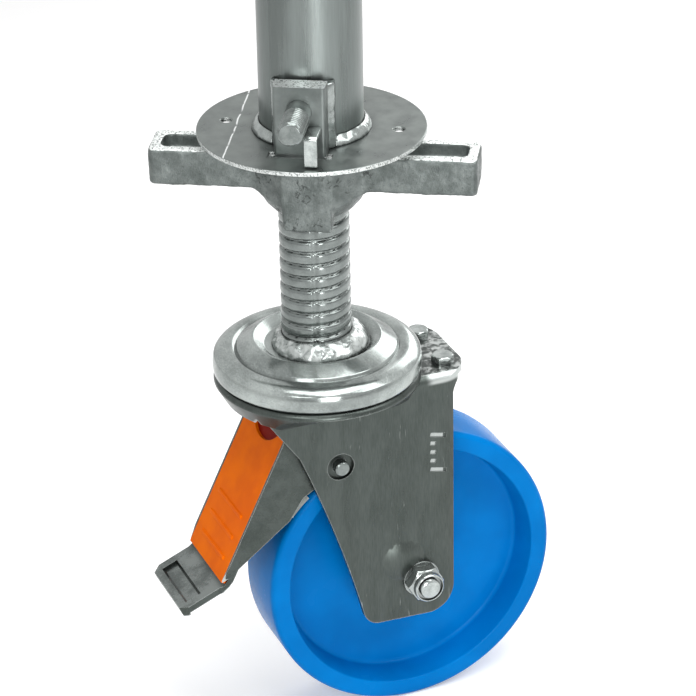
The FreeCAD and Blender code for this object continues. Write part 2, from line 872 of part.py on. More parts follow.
# Pressed swivel head: dish, raised rim, rounded crest and a lip over the crown
def swivel_head():
    wall = S.head_wall
    rim = DISH_Z + S.rim_height
    ridge = DISH_Z - S.ridge_drop
    low = DISH_Z - S.head_depth
    lip_inner = S.head_radius - S.lip_wall
    ceiling = CROWN_Z + S.race_rise
    hole = S.kingpin_radius
    rim_top = rim - S.rim_ease
    bend = S.press_bend
    return revolve(new_body("swivel_head"), [
        (hole, DISH_Z - wall), (S.dish_radius + bend, DISH_Z - wall),
        (S.rim_radius + S.under_rim, rim - S.under_rim_drop),
        (S.ridge_radius - bend, ridge - S.under_ridge_drop),
        (S.ridge_radius - bend / 2, ceiling), (lip_inner - bend, ceiling),
        (lip_inner, ceiling - S.ceiling_corner), (lip_inner, low), (S.head_radius - S.hem_inset, low),
        (S.head_radius - bend / 2, low + bend, S.hem_curve, 1),
        (S.head_radius - S.shoulder_inset, low + S.shoulder_height, S.shoulder_curve, 1),
        (S.crest_circle, DISH_Z - S.crest_drop, S.crest_curve, 1),
        (S.ridge_radius + S.groove_width, DISH_Z - S.groove_drop), (S.ridge_radius, ridge),
        (S.rim_radius + S.rim_land, rim_top, S.rim_curve, 1), (S.rim_radius - S.rim_land, rim_top),
        (S.dish_radius, DISH_Z), (hole, DISH_Z)])


LOWER_BALL_Z = CROWN_UNDER_Z - S.ball_gap - S.lower_ball_radius
CUP_TOP_Z = LOWER_BALL_Z - S.lower_ball_radius - S.ball_gap
CUP_LOW_Z = CUP_TOP_Z - S.cup_wall


# Kingpin riveted in the dish, its head inside the spindle
def kingpin():
    end = CUP_LOW_Z - S.kingpin_nut_height - S.kingpin_end
    head_top = DISH_Z + S.kingpin_head_height
    chamfer = S.kingpin_chamfer
    return revolve(new_body("kingpin"), [
        (0, end), (S.kingpin_radius - chamfer, end), (S.kingpin_radius, end + chamfer),
        (S.kingpin_radius, DISH_Z), (S.kingpin_head_radius, DISH_Z),
        (S.kingpin_head_radius, head_top - 2 * chamfer),
        (S.kingpin_head_radius - 2 * chamfer, head_top), (0, head_top)])


def kingpin_nut():
    low = CUP_LOW_Z - S.kingpin_nut_height
    nut = pad(new_body("kingpin_nut"), [hexagon(S.kingpin_nut_flats)], low, CUP_LOW_Z)
    return pocket(nut, [circle(0, 0, S.kingpin_radius)], low - 1, CUP_LOW_Z + 1)


# Cup that carries the lower balls under the crown
def lower_cup():
    rim_inner = S.lower_circle + S.lower_ball_radius + 2 * S.ball_gap
    rim_outer = rim_inner + S.cup_wall
    rim_top = CUP_TOP_Z + S.lower_ball_radius
    return revolve(new_body("lower_cup"), [
        (S.kingpin_radius, CUP_LOW_Z), (rim_outer - S.cup_chamfer, CUP_LOW_Z),
        (rim_outer, CUP_LOW_Z + S.cup_chamfer),
        (rim_outer, rim_top), (rim_inner, rim_top), (rim_inner, CUP_TOP_Z),
        (S.kingpin_radius, CUP_TOP_Z)])


def upper_balls():
    radius = S.race_rise / 2 - S.ball_gap
    return ball_row("upper_balls", radius, S.race_circle, CROWN_Z + S.race_rise / 2, S.race_ball_count)


def lower_balls():
    return ball_row("lower_balls", S.lower_ball_radius, S.lower_circle, LOWER_BALL_Z, S.lower_ball_count)


BOLT_X = S.shelf_rear - S.shelf_bolt_rear
BOLT_SIDES = ((1, "far"), (-1, "near"))


# One pressed fork: channel with two cheeks, bowl shaped crown, shelf at the rear
def fork():
    foot_x0 = S.trail - S.foot_front
    foot_x1 = S.trail + S.foot_rear
    foot_low = AXLE_Z - S.foot_drop
    skirt = SHELF_Z - S.skirt_drop
    neck_z = SHELF_Z - S.neck_drop
    side = extrude("fork_side", [[
        (-S.crown_front, SHELF_Z), (S.crown_slope - S.crown_front, skirt),
        (-S.neck_front, neck_z, S.neck_curve, -1),
        (foot_x0, foot_low + S.foot_toe, S.foot_corner, 1), (foot_x0 + S.foot_toe, foot_low + S.foot_ease),
        (foot_x1 - S.foot_heel, foot_low, S.foot_heel_curve, 1), (foot_x1, foot_low + S.foot_height),
        (foot_x1, SHELF_Z - S.shelf_flare, S.shelf_flare_curve, -1),
        (S.shelf_rear - S.shelf_lip, SHELF_UNDER_Z - S.shelf_lip_drop),
        (S.shelf_rear, SHELF_UNDER_Z), (S.shelf_rear, SHELF_Z)]], 2 * S.fork_half_width)
    half = S.fork_half_width
    bend = S.fork_shoulder
    low = 2 * foot_low
    section = extrude("fork_section", [[
        (-half, low), (half, low), (half, SHELF_Z - bend, bend, 1), (half - bend, SHELF_Z),
        (bend - half, SHELF_Z, bend, 1), (-half, SHELF_Z - bend)]], 2 * THROUGH, YZ_PLANE)
    corner = S.shelf_corner
    plan = extrude("fork_plan", [[
        (-S.bowl_radius, -half), (S.shelf_rear - corner, -half, corner, 1),
        (S.shelf_rear, corner - half), (S.shelf_rear, half - corner, corner, 1),
        (S.shelf_rear - corner, half), (-S.bowl_radius, half)]], 2 * THROUGH, UPRIGHT, AXLE_Z * 1.3)
    channel = overlap("fork_channel", [side, section, plan])

    bowl_low = SHELF_Z - S.bowl_depth
    bowl_edge = S.bowl_radius - S.bowl_edge
    edge_z = SHELF_Z - S.bowl_edge_drop
    skirt_radius = S.bowl_radius - S.bowl_draft
    bowl = turned("fork_bowl", [
        (0, CROWN_Z), (bowl_edge, CROWN_Z, S.bowl_edge_curve, -1), (S.bowl_radius, edge_z),
        (skirt_radius, skirt, S.bowl_curve, 1), (S.fork_half_width, bowl_low), (0, bowl_low)])
    relief = extrude("fork_relief", [[
        (-2 * S.bowl_radius, skirt), (S.crown_slope - S.crown_front, skirt), (-S.neck_front, neck_z),
        (-S.neck_front, bowl_low), (-2 * S.bowl_radius, bowl_low)]], 4 * S.bowl_radius)
    flare = flare_section("fork_flare", S.fork_half_width, S.bowl_radius, edge_z)
    crown = overlap("fork_crown", [subtract("fork_bowl_front", bowl, [relief]), flare])
    blank = join("fork_blank", [channel, crown])

    wall = S.fork_plate
    crown_inner = S.crown_wall - S.crown_front
    under_foot = 2 * foot_low
    hollow = turned("fork_hollow", [
        (0, SHELF_UNDER_Z), (S.bowl_radius - wall - S.bowl_edge_drop, SHELF_UNDER_Z),
        (skirt_radius - wall, skirt, S.bowl_curve, 1), (FORK_INNER, bowl_low), (0, bowl_low)])
    inside = extrude("fork_inside", [[
        (crown_inner, SHELF_UNDER_Z), (2 * S.shelf_rear, SHELF_UNDER_Z), (2 * S.shelf_rear, under_foot),
        (-2 * S.bowl_radius, under_foot), (-2 * S.bowl_radius, skirt), (crown_inner, skirt)]],
        2 * FORK_INNER)
    inner_flare = flare_section("fork_inner_flare", FORK_INNER, S.bowl_radius - wall, SHELF_Z)
    hollow = overlap("fork_crown_hollow", [hollow, inner_flare])
    crown_recess = post("crown_recess", S.race_circle, SHELF_UNDER_Z - 1, CROWN_UNDER_Z)
    king_hole = post("king_hole", S.kingpin_radius + S.run_gap, SHELF_UNDER_Z - 1, CROWN_Z + 1)
    axle_hole = rod("axle_hole", S.axle_radius + S.run_gap, THROUGH, S.trail, AXLE_Z)
    pivot_hole = rod("pivot_hole", S.pivot_pin_radius, THROUGH, 0, PIVOT_Z)
    tools = [hollow, inside, crown_recess, king_hole, axle_hole, pivot_hole]
    for side_sign, name in BOLT_SIDES:
        recess_y = side_sign * (S.fork_half_width - S.pivot_recess_depth + THROUGH / 2)
        tools.append(rod(f"{name}_recess", S.pivot_recess_radius, THROUGH / 2, 0, PIVOT_Z, recess_y))
        tools.append(post(f"{name}_bolt_hole", S.shelf_bolt_radius + S.run_gap, SHELF_UNDER_Z - 1,
                          SHELF_Z + 1, BOLT_X, side_sign * S.shelf_bolt_half))
    tools += fork_marks()
    bare = subtract("fork_bare", blank, tools)
    return join("fork", [bare] + fork_dimples())


def flare_section(name, waist, reach, top):
    """End view of the crown: its sides run in from the ring to the cheeks in a hollow curve."""
    low = SHELF_Z - S.bowl_depth - 1
    waist_z = top - S.flare_drop
    high = CROWN_Z + 1
    return extrude(name, [[
        (-waist, low), (waist, low), (waist, waist_z, S.flare_curve, -1), (reach, top), (reach, high),
        (-reach, high), (-reach, top, S.flare_curve, -1), (-waist, waist_z)]], 4 * S.bowl_radius, YZ_PLANE)


# Shallow plain bars pressed in the near cheek
def fork_marks():
    bars = []
    for step in range(int(S.mark_count.value)):
        bar = doc.addObject("Part::Box", f"mark_{step}")
        ends = step in (0, int(S.mark_count.value) - 1)
        bind(bar, "Length", S.mark_length if ends else S.mark_length / 3)
        bind(bar, "Width", S.mark_depth * 2)
        bind(bar, "Height", S.mark_height)
        bar.Placement = Placement(Vector(), Rotation(Vector(0, 1, 0), S.mark_tilt.value))
        bind(bar, "Placement.Base.x", S.trail + S.foot_rear - S.mark_rear - S.mark_length / 2)
        bind(bar, "Placement.Base.y", -S.fork_half_width - S.mark_depth)
        bind(bar, "Placement.Base.z", SHELF_Z - S.mark_drop - S.mark_pitch * step)
        bars.append(bar)
    return bars


# Pressed swelling on each cheek beside the axle
def fork_dimples():
    radius = S.dimple_radius
    rise = S.dimple_height
    sphere_radius = (radius * radius + rise * rise) / (2 * rise)
    x = S.trail - S.dimple_lead
    z = AXLE_Z + S.dimple_lift
    caps = []
    for side, name in BOLT_SIDES:
        sphere = doc.addObject("Part::Sphere", f"{name}_sphere")
        bind(sphere, "Radius", sphere_radius)
        place(sphere, x, side * (S.fork_half_width + rise - sphere_radius), z)
        slab = rod(f"{name}_slab", radius + 1, rise, x, z, side * (S.fork_half_width + rise * 0.75))
        swelling = overlap(f"{name}_swelling", [sphere, slab])
        seat = rod(f"{name}_seat", S.washer_radius + S.run_gap, rise * 2, S.trail, AXLE_Z,
                   side * (S.fork_half_width + rise))
        caps.append(subtract(f"{name}_dimple", swelling, [seat]))
    return caps


def shelf_bolts():
    bolts = []
    low = SHELF_UNDER_Z - S.leaf_thickness - S.shelf_nut_height - 2
    for side, name in BOLT_SIDES:
        y = side * S.shelf_bolt_half
        head = extrude(f"{name}_head", [hexagon(S.shelf_bolt_flats, BOLT_X, y)], S.shelf_bolt_head,
                       UPRIGHT, SHELF_Z)
        shank = post(f"{name}_shank", S.shelf_bolt_radius, low, SHELF_Z + 1, BOLT_X, y)
        bolts.append(join(f"{name}_bolt", [head, shank]))
    return group("shelf_bolts", bolts)


def shelf_nuts():
    nuts = []
    high = SHELF_UNDER_Z - S.leaf_thickness
    low = high - S.shelf_nut_height
    for side, name in BOLT_SIDES:
        y = side * S.shelf_bolt_half
        loops = [hexagon(S.shelf_bolt_flats, BOLT_X, y), circle(BOLT_X, y, S.shelf_bolt_radius)]
        nuts.append(extrude(f"{name}_shelf_nut", loops, S.shelf_nut_height, UPRIGHT, low))
    return group("shelf_nuts", nuts)


# Leaf spring bolted under the shelf, its tip on the brake lever's cross tube
def leaf_spring():
    top = SHELF_UNDER_Z
    thick = S.leaf_thickness
    tip_low = PIVOT_Z + S.pivot_tube_radius + S.lift_gap
    bend_x = S.shelf_rear - S.leaf_bend
    tail = S.shelf_rear - S.leaf_inset
    outline = [(tail, top), (bend_x, top), (S.leaf_tip - S.leaf_inset, tip_low + thick),
               (-S.leaf_tip, tip_low + thick), (-S.leaf_tip, tip_low),
               (S.leaf_tip - S.leaf_inset + S.leaf_bend_shift, tip_low),
               (bend_x + S.leaf_bend_shift, top - thick), (tail, top - thick)]
    strip = extrude("leaf_strip", [outline], S.leaf_tab_width)
    narrow = S.leaf_width / 2
    wide = S.leaf_tab_width / 2
    waist_x = bend_x + S.leaf_inset
    tab_x = waist_x + S.leaf_tab_slope
    plan = extrude("leaf_plan", [[
        (-2 * S.leaf_tip, -narrow), (waist_x, -narrow), (tab_x, -wide), (2 * tail, -wide),
        (2 * tail, wide), (tab_x, wide), (waist_x, narrow), (-2 * S.leaf_tip, narrow)]],
        THROUGH, UPRIGHT, AXLE_Z)
    holes = [post(f"{name}_leaf_hole", S.shelf_bolt_radius + S.run_gap, top - 5, top + 5, BOLT_X,
                  side * S.shelf_bolt_half) for side, name in BOLT_SIDES]
    return subtract("leaf_spring", overlap("leaf_blank", [strip, plan]), holes)


# Axle bolt with its head on the far side
def axle_bolt():
    head_face = S.fork_half_width + S.washer_thickness
    end = head_face + S.nut_hex_height + S.nut_crown_height + S.axle_end
    bolt = revolve(new_body("axle_bolt"), [
        (0, -end), (S.axle_radius - S.axle_chamfer, -end), (S.axle_radius, S.axle_chamfer - end),
        (S.axle_radius, head_face),
        (0, head_face)])
    pad(bolt, [hexagon(S.axle_flats)], head_face, head_face + S.axle_head_height)
    return place(bolt, x=S.trail, z=AXLE_Z, rotation=ALONG_Y)


# Self locking nut with a round crown
def axle_nut():
    face = -S.fork_half_width - S.washer_thickness
    crown = face - S.nut_hex_height
    nut = pad(new_body("axle_nut"), [hexagon(S.axle_flats)], crown, face)
    pad(nut, [circle(0, 0, S.nut_crown_radius)], crown - S.nut_crown_height, crown)
    end = crown - S.nut_crown_height
    pocket(nut, [circle(0, 0, S.axle_radius)], end - 1, face + 1)
    pocket(nut, [circle(0, 0, S.nut_mouth_radius)], end - 1, end + S.nut_mouth_depth)
    return place(nut, x=S.trail, z=AXLE_Z, rotation=ALONG_Y)


def washer_pair(label, inner, outer, near, far):
    """Two like rings on the axle, one each side."""
    rings = []
    for side, name in BOLT_SIDES:
        ring = turned(f"{name}_{label}", [(inner, side * near), (outer, side * near),
                                          (outer, side * far), (inner, side * far)])
        rings.append(ring)
    return place(group(label, rings), x=S.trail, z=AXLE_Z, rotation=ALONG_Y)


def axle_washers():
    near = S.fork_half_width
    return washer_pair("axle_washers", S.axle_radius, S.washer_radius, near, near + S.washer_thickness)


def dust_caps():
    inner = S.sleeve_radius
    return washer_pair("dust_caps", inner, S.cap_radius, FORK_INNER - S.cap_thickness, FORK_INNER)


def axle_sleeve():
    sleeve = revolve(new_body("axle_sleeve"), [
        (S.axle_radius + S.run_gap, -FORK_INNER), (S.sleeve_radius, -FORK_INNER),
        (S.sleeve_radius, FORK_INNER), (S.axle_radius + S.run_gap, FORK_INNER)])
    return place(sleeve, x=S.trail, z=AXLE_Z, rotation=ALONG_Y)


# Solid wheel: tread, deep recess each side, web and hub
def wheel():
    tread = S.wheel_radius
    half = S.wheel_width / 2
    rim = tread - S.rim_face
    floor = rim - S.rim_draft
    web = S.web_thickness / 2
    corner = S.tread_corner
    bend = S.web_corner
    hub_half = FORK_INNER - S.cap_thickness - S.hub_gap
    hub_foot = S.hub_radius + S.hub_flare
    bore = S.bearing_radius
    body = revolve(new_body("wheel"), [
        (bore, -hub_half), (S.hub_radius, -hub_half), (hub_foot, -web - bend, bend, -1),
        (hub_foot + bend, -web), (floor - bend, -web, bend, -1), (floor, -web - bend),
        (rim, -half), (tread - corner, -half, corner, 1), (tread, corner - half),
        (tread, half - corner, corner, 1), (tread - corner, half), (rim, half),
        (floor, web + bend, bend, -1), (floor - bend, web),
        (hub_foot + bend, web, bend, -1), (hub_foot, web + bend), (S.hub_radius, hub_half),
        (bore, hub_half)])
    return place(body, x=S.trail, z=AXLE_Z, rotation=ALONG_Y)


ROLLER_CIRCLE = (S.sleeve_radius + S.bearing_radius) / 2


def roller_spots(count, shift):
    for step in range(count):
        angle = as_size(360.0 / count * (step + shift))
        yield step, S.trail + ROLLER_CIRCLE * cosine(angle), AXLE_Z + ROLLER_CIRCLE * sine(angle)


def rollers():
    count = int(S.roller_count.value)
    pieces = [rod(f"roller_{step}", S.roller_radius, S.roller_length / 2, x, z)
              for step, x, z in roller_spots(count, 0.0)]
    return group("rollers", pieces)


# Cage: two end rings joined by a thin bar between each two rollers
def roller_cage():
    count = int(S.roller_count.value)
    near = S.roller_length / 2 + S.run_gap * 4
    far = near + S.cage_end
    inner = S.sleeve_radius + S.run_gap
    outer = S.bearing_radius - S.run_gap
    parts = []
    for side, name in BOLT_SIDES:
        parts.append(turned(f"{name}_cage_ring", [
            (inner, side * near), (outer, side * near), (outer, side * far), (inner, side * far)],
            x=S.trail, z=AXLE_Z, along_y=True))
    for step, x, z in roller_spots(count, 0.5):
        parts.append(rod(f"cage_bar_{step}", S.cage_bar, near + 1, x, z))
    return join("roller_cage", parts)


def lever_pin():
    half = S.fork_half_width + S.pivot_pin_end
    chamfer = S.pivot_chamfer
    pin = revolve(new_body("lever_pin"), [
        (0, -half), (S.pivot_pin_radius - chamfer, -half), (S.pivot_pin_radius, chamfer - half),
        (S.pivot_pin_radius, half - chamfer), (S.pivot_pin_radius - chamfer, half), (0, half)])
    return place(pin, z=PIVOT_Z, rotation=ALONG_Y)


LEVER_HALF = FORK_INNER - S.side_gap
LEVER_INNER = LEVER_HALF - S.lever_plate
PAD_HALF = LEVER_HALF - S.lever_rim - S.run_gap


def web_point(along, out):
    """A point of the lever's side view: along the web upwards and out from its pad face.

    The pad face lies web_offset out from the pivot, at web_angle to the horizontal.
    """
    away = S.web_offset + out
    x = along * cosine(S.web_angle) - away * sine(S.web_angle)
    z = PIVOT_Z + along * sine(S.web_angle) + away * cosine(S.web_angle)
    return x, z


def foot_point(along, up):
    """A point of the foot plate's side view, from the web's lower end outwards."""
    start_x, start_z = web_point(-S.web_bottom, -S.pad_thickness)
    x = start_x - along * cosine(S.foot_angle) - up * sine(S.foot_angle)
    z = start_z - along * sine(S.foot_angle) + up * cosine(S.foot_angle)
    return x, z


# Pressed lever: web, two side plates with eyes, and the foot plate with its lip
def brake_lever():
    skin = S.pad_thickness
    plate = S.lever_plate
    length = S.foot_length
    thick = S.foot_thickness
    web = extrude("lever_web", [[
        web_point(S.web_top, -skin), web_point(-S.web_bottom, -skin), foot_point(length, 0),
        foot_point(length, -thick - S.foot_lip), foot_point(length - thick, -thick - S.foot_lip),
        foot_point(length - thick, -thick), foot_point(S.foot_bend, -thick),
        web_point(S.web_bend - S.web_bottom, -skin - plate), web_point(S.web_top, -skin - plate)]],
        2 * LEVER_HALF)
    side_half = S.foot_half_width
    tip_x = foot_point(length, 0)[0] - S.foot_tip_step
    wide_x = foot_point(0, 0)[0] - S.foot_bend
    narrow_x = wide_x + 2 * S.foot_bend
    round_edge = S.foot_round
    plan = extrude("lever_plan", [[
        (tip_x, round_edge - side_half), (tip_x + round_edge, -side_half), (wide_x, -side_half),
        (narrow_x, -LEVER_HALF), (2 * S.trail, -LEVER_HALF), (2 * S.trail, LEVER_HALF),
        (narrow_x, LEVER_HALF), (wide_x, side_half), (tip_x + round_edge, side_half),
        (tip_x, side_half - round_edge)]], 2 * THROUGH, UPRIGHT, AXLE_Z)
    eye = S.lever_eye_radius
    cheek = extrude("lever_cheek", [[
        web_point(S.web_top, 0), web_point(-S.web_bottom, 0),
        (-S.belly_back, PIVOT_Z - S.belly_drop), (-S.heel_back, PIVOT_Z - S.heel_drop),
        (-S.throat_back, PIVOT_Z - S.throat_drop), (0, PIVOT_Z - eye, eye, 1),
        (eye, PIVOT_Z, eye, 1), (0, PIVOT_Z + eye)]], 2 * LEVER_HALF)
    between = extrude("lever_between", [[
        web_point(2 * S.web_top, -skin - plate), web_point(-2 * S.web_bottom, -skin - plate),
        (4 * eye, PIVOT_Z - 4 * S.belly_drop), (4 * eye, PIVOT_Z + 4 * eye)]], 2 * LEVER_INNER)
    above = extrude("lever_above", [[
        web_point(2 * S.web_top, -skin), web_point(-2 * S.web_bottom, -skin),
        web_point(-2 * S.web_bottom, skin), web_point(2 * S.web_top, skin)]],
        2 * (LEVER_HALF - S.lever_rim))
    cheeks = subtract("lever_cheeks", cheek, [between, above])
    shaped = overlap("lever_shaped", [join("lever_blank", [web, cheeks]), plan])
    eye_hole = rod("lever_eye", S.pivot_pin_radius + S.run_gap, THROUGH / 2, 0, PIVOT_Z)
    return subtract("brake_lever", shaped, [foot_panel(), eye_hole])


def foot_panel():
    """The sunk panel across the foot plate, deeper towards its middle line."""
    outline = [foot_point(S.panel_start, 1), foot_point(S.panel_start, 0),
               foot_point(S.panel_start + S.panel_slope, -S.panel_depth),
               foot_point(S.panel_end - S.panel_slope, -S.panel_depth),
               foot_point(S.panel_end, 0), foot_point(S.panel_end, 1)]
    return extrude("foot_panel", [outline], 2 * S.panel_half)


# Cross tube on the lever pin
def pivot_tube():
    tube = revolve(new_body("pivot_tube"), [
        (S.pivot_pin_radius + S.run_gap, -LEVER_INNER), (S.pivot_tube_radius, -LEVER_INNER),
        (S.pivot_tube_radius, LEVER_INNER), (S.pivot_pin_radius + S.run_gap, LEVER_INNER)])
    return place(tube, z=PIVOT_Z, rotation=ALONG_Y)


def shoe_centre():
    """Centre of the shoe's curve: the axle, turned back about the pivot by the lever's swing."""
    x = S.trail
    z = AXLE_Z - PIVOT_Z
    turned_x = x * cosine(S.lever_swing) + z * sine(S.lever_swing)
    turned_z = z * cosine(S.lever_swing) - x * sine(S.lever_swing)
    return turned_x, PIVOT_Z + turned_z


def shoe_point(radius, angle):
    x, z = shoe_centre()
    return x + radius * cosine(angle), z + radius * sine(angle)


# Curved brake shoe between the lever's side plates
def brake_shoe():
    inner = S.wheel_radius + S.shoe_contact
    outer = inner + S.shoe_thickness
    end = S.shoe_start + S.shoe_sweep
    start_in = shoe_point(inner, S.shoe_start)
    end_in = shoe_point(inner, end)
    start_out = shoe_point(outer, S.shoe_start)
    end_out = shoe_point(outer, end)
    block = extrude("shoe_block", [[
        (*start_out, outer, 1), end_out, (*end_in, inner, -1), start_in]], 2 * LEVER_INNER)
    return group("brake_shoe", [block])


# Pedal pad on the web: tapered plate, round notch at its top, three raised ribs
def pedal_pad():
    foot = S.pad_start - S.web_bottom
    top = S.web_top
    body = pad(new_body("pedal_pad"), [[
        (foot, -PAD_HALF), (top, -PAD_HALF), (top, PAD_HALF), (foot, PAD_HALF)]],
        -S.pad_thickness, 0)
    pocket(body, [circle(top + S.notch_rise, 0, S.notch_radius)], -S.notch_depth, 1)
    ribs = []
    for step in range(int(S.rib_count.value)):
        start = foot + S.rib_start + S.rib_pitch * step
        ribs.append(box(start, -S.rib_half_length, start + S.rib_width, S.rib_half_length))
    pad(body, ribs, 0, S.rib_height)
    tilt = Rotation(Vector(0, 1, 0), -S.web_angle.value)
    body.Placement = Placement(Vector(), tilt)
    bind(body, "Placement.Base.x", -S.web_offset * sine(S.web_angle))
    bind(body, "Placement.Base.z", PIVOT_Z + S.web_offset * cosine(S.web_angle))
    return body


NODES = [
    upright_tube, collar_disc, foot_weld, lock_bracket, lug_welds, lock_keeper, lock_pin,
    wing_nut, retaining_ring, spindle, spindle_weld, swivel_head, kingpin, kingpin_nut, lower_cup,
    fork, upper_balls, lower_balls, shelf_bolts, shelf_nuts, leaf_spring, axle_bolt, axle_nut,
    axle_washers, dust_caps, axle_sleeve, lever_pin, wheel, roller_cage, rollers,
    brake_lever, pivot_tube, pedal_pad, brake_shoe,
]

pieces = [make() for make in NODES]
doc.recompute()

for thing in doc.Objects:
    if "Invalid" in thing.State or "Error" in thing.State:
        raise RuntimeError(f"{thing.Label} did not build: {thing.State}")
for piece in pieces:
    if piece.Shape.isNull() or not piece.Shape.isValid():
        raise RuntimeError(f"{piece.Label} has no valid shape")

os.makedirs("parts", exist_ok=True)
for piece in pieces:
    piece.Shape.exportStep(f"parts/{piece.Label}.step")
    bounds = piece.Shape.BoundBox
    print(f"{piece.Label}: {len(piece.Shape.Solids)} solids, {piece.Shape.Volume:.0f} mm3, "
          f"x {bounds.XMin:.1f} {bounds.XMax:.1f}, y {bounds.YMin:.1f} {bounds.YMax:.1f}, "
          f"z {bounds.ZMin:.1f} {bounds.ZMax:.1f}")
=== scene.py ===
import json
import math
from math import cos, radians, sin

import bmesh
import bpy
from mathutils import Matrix, Vector, noise


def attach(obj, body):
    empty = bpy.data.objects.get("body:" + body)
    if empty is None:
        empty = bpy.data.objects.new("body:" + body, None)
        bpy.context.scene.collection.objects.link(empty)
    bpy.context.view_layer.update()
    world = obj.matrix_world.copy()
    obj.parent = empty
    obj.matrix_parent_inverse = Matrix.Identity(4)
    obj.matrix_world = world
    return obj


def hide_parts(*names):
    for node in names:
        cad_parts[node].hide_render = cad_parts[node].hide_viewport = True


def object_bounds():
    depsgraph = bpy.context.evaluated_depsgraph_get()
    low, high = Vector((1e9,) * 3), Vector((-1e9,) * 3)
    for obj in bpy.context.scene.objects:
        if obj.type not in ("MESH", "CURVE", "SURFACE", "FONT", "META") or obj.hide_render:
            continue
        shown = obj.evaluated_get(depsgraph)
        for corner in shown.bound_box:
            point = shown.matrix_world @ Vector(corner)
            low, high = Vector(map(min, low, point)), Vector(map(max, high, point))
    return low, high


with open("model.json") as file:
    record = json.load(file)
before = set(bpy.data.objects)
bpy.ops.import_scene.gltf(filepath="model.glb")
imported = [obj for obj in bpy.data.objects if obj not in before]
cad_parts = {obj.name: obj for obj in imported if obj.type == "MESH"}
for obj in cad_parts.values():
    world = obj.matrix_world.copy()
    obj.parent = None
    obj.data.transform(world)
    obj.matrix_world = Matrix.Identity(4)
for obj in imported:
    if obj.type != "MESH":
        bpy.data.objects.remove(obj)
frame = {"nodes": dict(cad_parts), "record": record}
cad_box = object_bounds()

MM = 0.001
NODES = frame["nodes"]
BODY_OF = {node: body for body, nodes in frame["record"]["behaviour"]["bodies"].items()
           for node in nodes}
SLOT_OF = {row["node"]: row["material_slot"] for row in frame["record"]["subparts"]}

# Heights and places that the pieces share, in millimetres
DISH_Z = -149.5
HEAD_LOW = DISH_Z - 18.0
SHELF_Z = -171.0
BOLT_X, BOLT_Y = 79.0, 20.0
CHEEK_Y = -37.0
PIVOT_Z = -223.0
PAD_SLOPE = radians(64)
PAD_OFFSET = 42.6
PAD_NORMAL = Vector((-sin(PAD_SLOPE), 0.0, cos(PAD_SLOPE)))
PAD_LEVEL = PIVOT_Z * PAD_NORMAL.z + PAD_OFFSET
AXLE = Vector((55.0, 0.0, -318.5))
WASHER_FACE = 39.5

# Edges sharper than this are rounded, and shading breaks at the ones sharper than the next
LEAST_EDGE = radians(32)
SHADING_BREAK = radians(52)


# Outlines and meshes
def outline(corners, steps=10):
    """Points of a closed (radius, height) outline. A corner with radius and side starts an arc."""
    points = []
    for here, there in zip(corners, corners[1:] + corners[:1]):
        start, end = Vector(here[:2]), Vector(there[:2])
        points.append(start)
        if len(here) == 2:
            continue
        radius, side = here[2:]
        chord = end - start
        left = Vector((-chord.y, chord.x)).normalized()
        centre = (start + end) / 2 + left * side * math.sqrt(radius ** 2 - chord.length ** 2 / 4)
        from_centre, to_end = start - centre, end - centre
        sweep = -from_centre.angle_signed(to_end)
        for step in range(1, steps):
            turn = Matrix.Rotation(sweep * step / steps, 2)
            points.append(centre + turn @ from_centre)
    return points


def rounded(points, radius):
    """The same outline with its sharp corners rounded."""
    least, steps = radians(22), 4
    result = []
    for before, here, after in zip(points[-1:] + points[:-1], points, points[1:] + points[:1]):
        inward, outward = here - before, after - here
        turn = abs(inward.angle_signed(outward))
        if turn < least:
            result.append(here)
            continue
        cut = min(radius * math.tan(turn / 2), 0.45 * min(inward.length, outward.length))
        start = here - inward.normalized() * cut
        end = here + outward.normalized() * cut
        for step in range(steps + 1):
            t = step / steps
            result.append(start * (1 - t) ** 2 + here * 2 * t * (1 - t) + end * t ** 2)
    return result


def mirrored(corners):
    """The corners again in reverse at minus their heights, for the outline's other half."""
    arcs = [()] + [corner[2:] for corner in corners[:-1]]
    return [(corner[0], -corner[1]) + arc for corner, arc in zip(corners[::-1], arcs[::-1])]


def skin(bm, rings):
    """Faces from each ring to the next, and from the last one to the first."""
    size = len(rings[0])
    for ring, after in zip(rings, rings[1:] + rings[:1]):
        for i in range(size):
            j = (i + 1) % size
            bm.faces.new((ring[i], ring[j], after[j], after[i]))


def turned(radius, angle, height):
    return Vector((radius * cos(angle), radius * sin(angle), height))


def lathe(name, points, count, centre=None, roughen=None):
    """A closed outline turned about Z, or about the Y axis through a centre, in millimetres."""
    bm = bmesh.new()
    rings = []
    for step in range(count):
        angle = 2 * math.pi * step / count
        ring = []
        for radius, height in points:
            spot = turned(radius, angle, height)
            if roughen:
                spot = roughen(spot)
            if centre is not None:
                spot = Vector((spot.x, -spot.z, spot.y)) + centre
            ring.append(bm.verts.new(spot * MM))
        rings.append(ring)
    skin(bm, rings)
    bmesh.ops.remove_doubles(bm, verts=bm.verts, dist=0.002 * MM)
    bmesh.ops.recalc_face_normals(bm, faces=bm.faces)
    mesh = bpy.data.meshes.new(name)
    bm.to_mesh(mesh)
    bm.free()
    return mesh


def bumpy(place, size, height, layers=3):
    """Even noise of one height at a place, both in millimetres."""
    fading, spread = 1.0, 2.0
    return noise.fractal(place / size, fading, spread, layers) * height


def show(name, mesh, node, material):
    """Adds a piece that rides on the body of a CAD node, and stands for that node."""
    obj = bpy.data.objects.new(name, mesh)
    bpy.context.scene.collection.objects.link(obj)
    mesh.materials.clear()
    mesh.materials.append(material)
    mesh.shade_smooth()
    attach(obj, BODY_OF[node])
    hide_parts(node)
    return obj


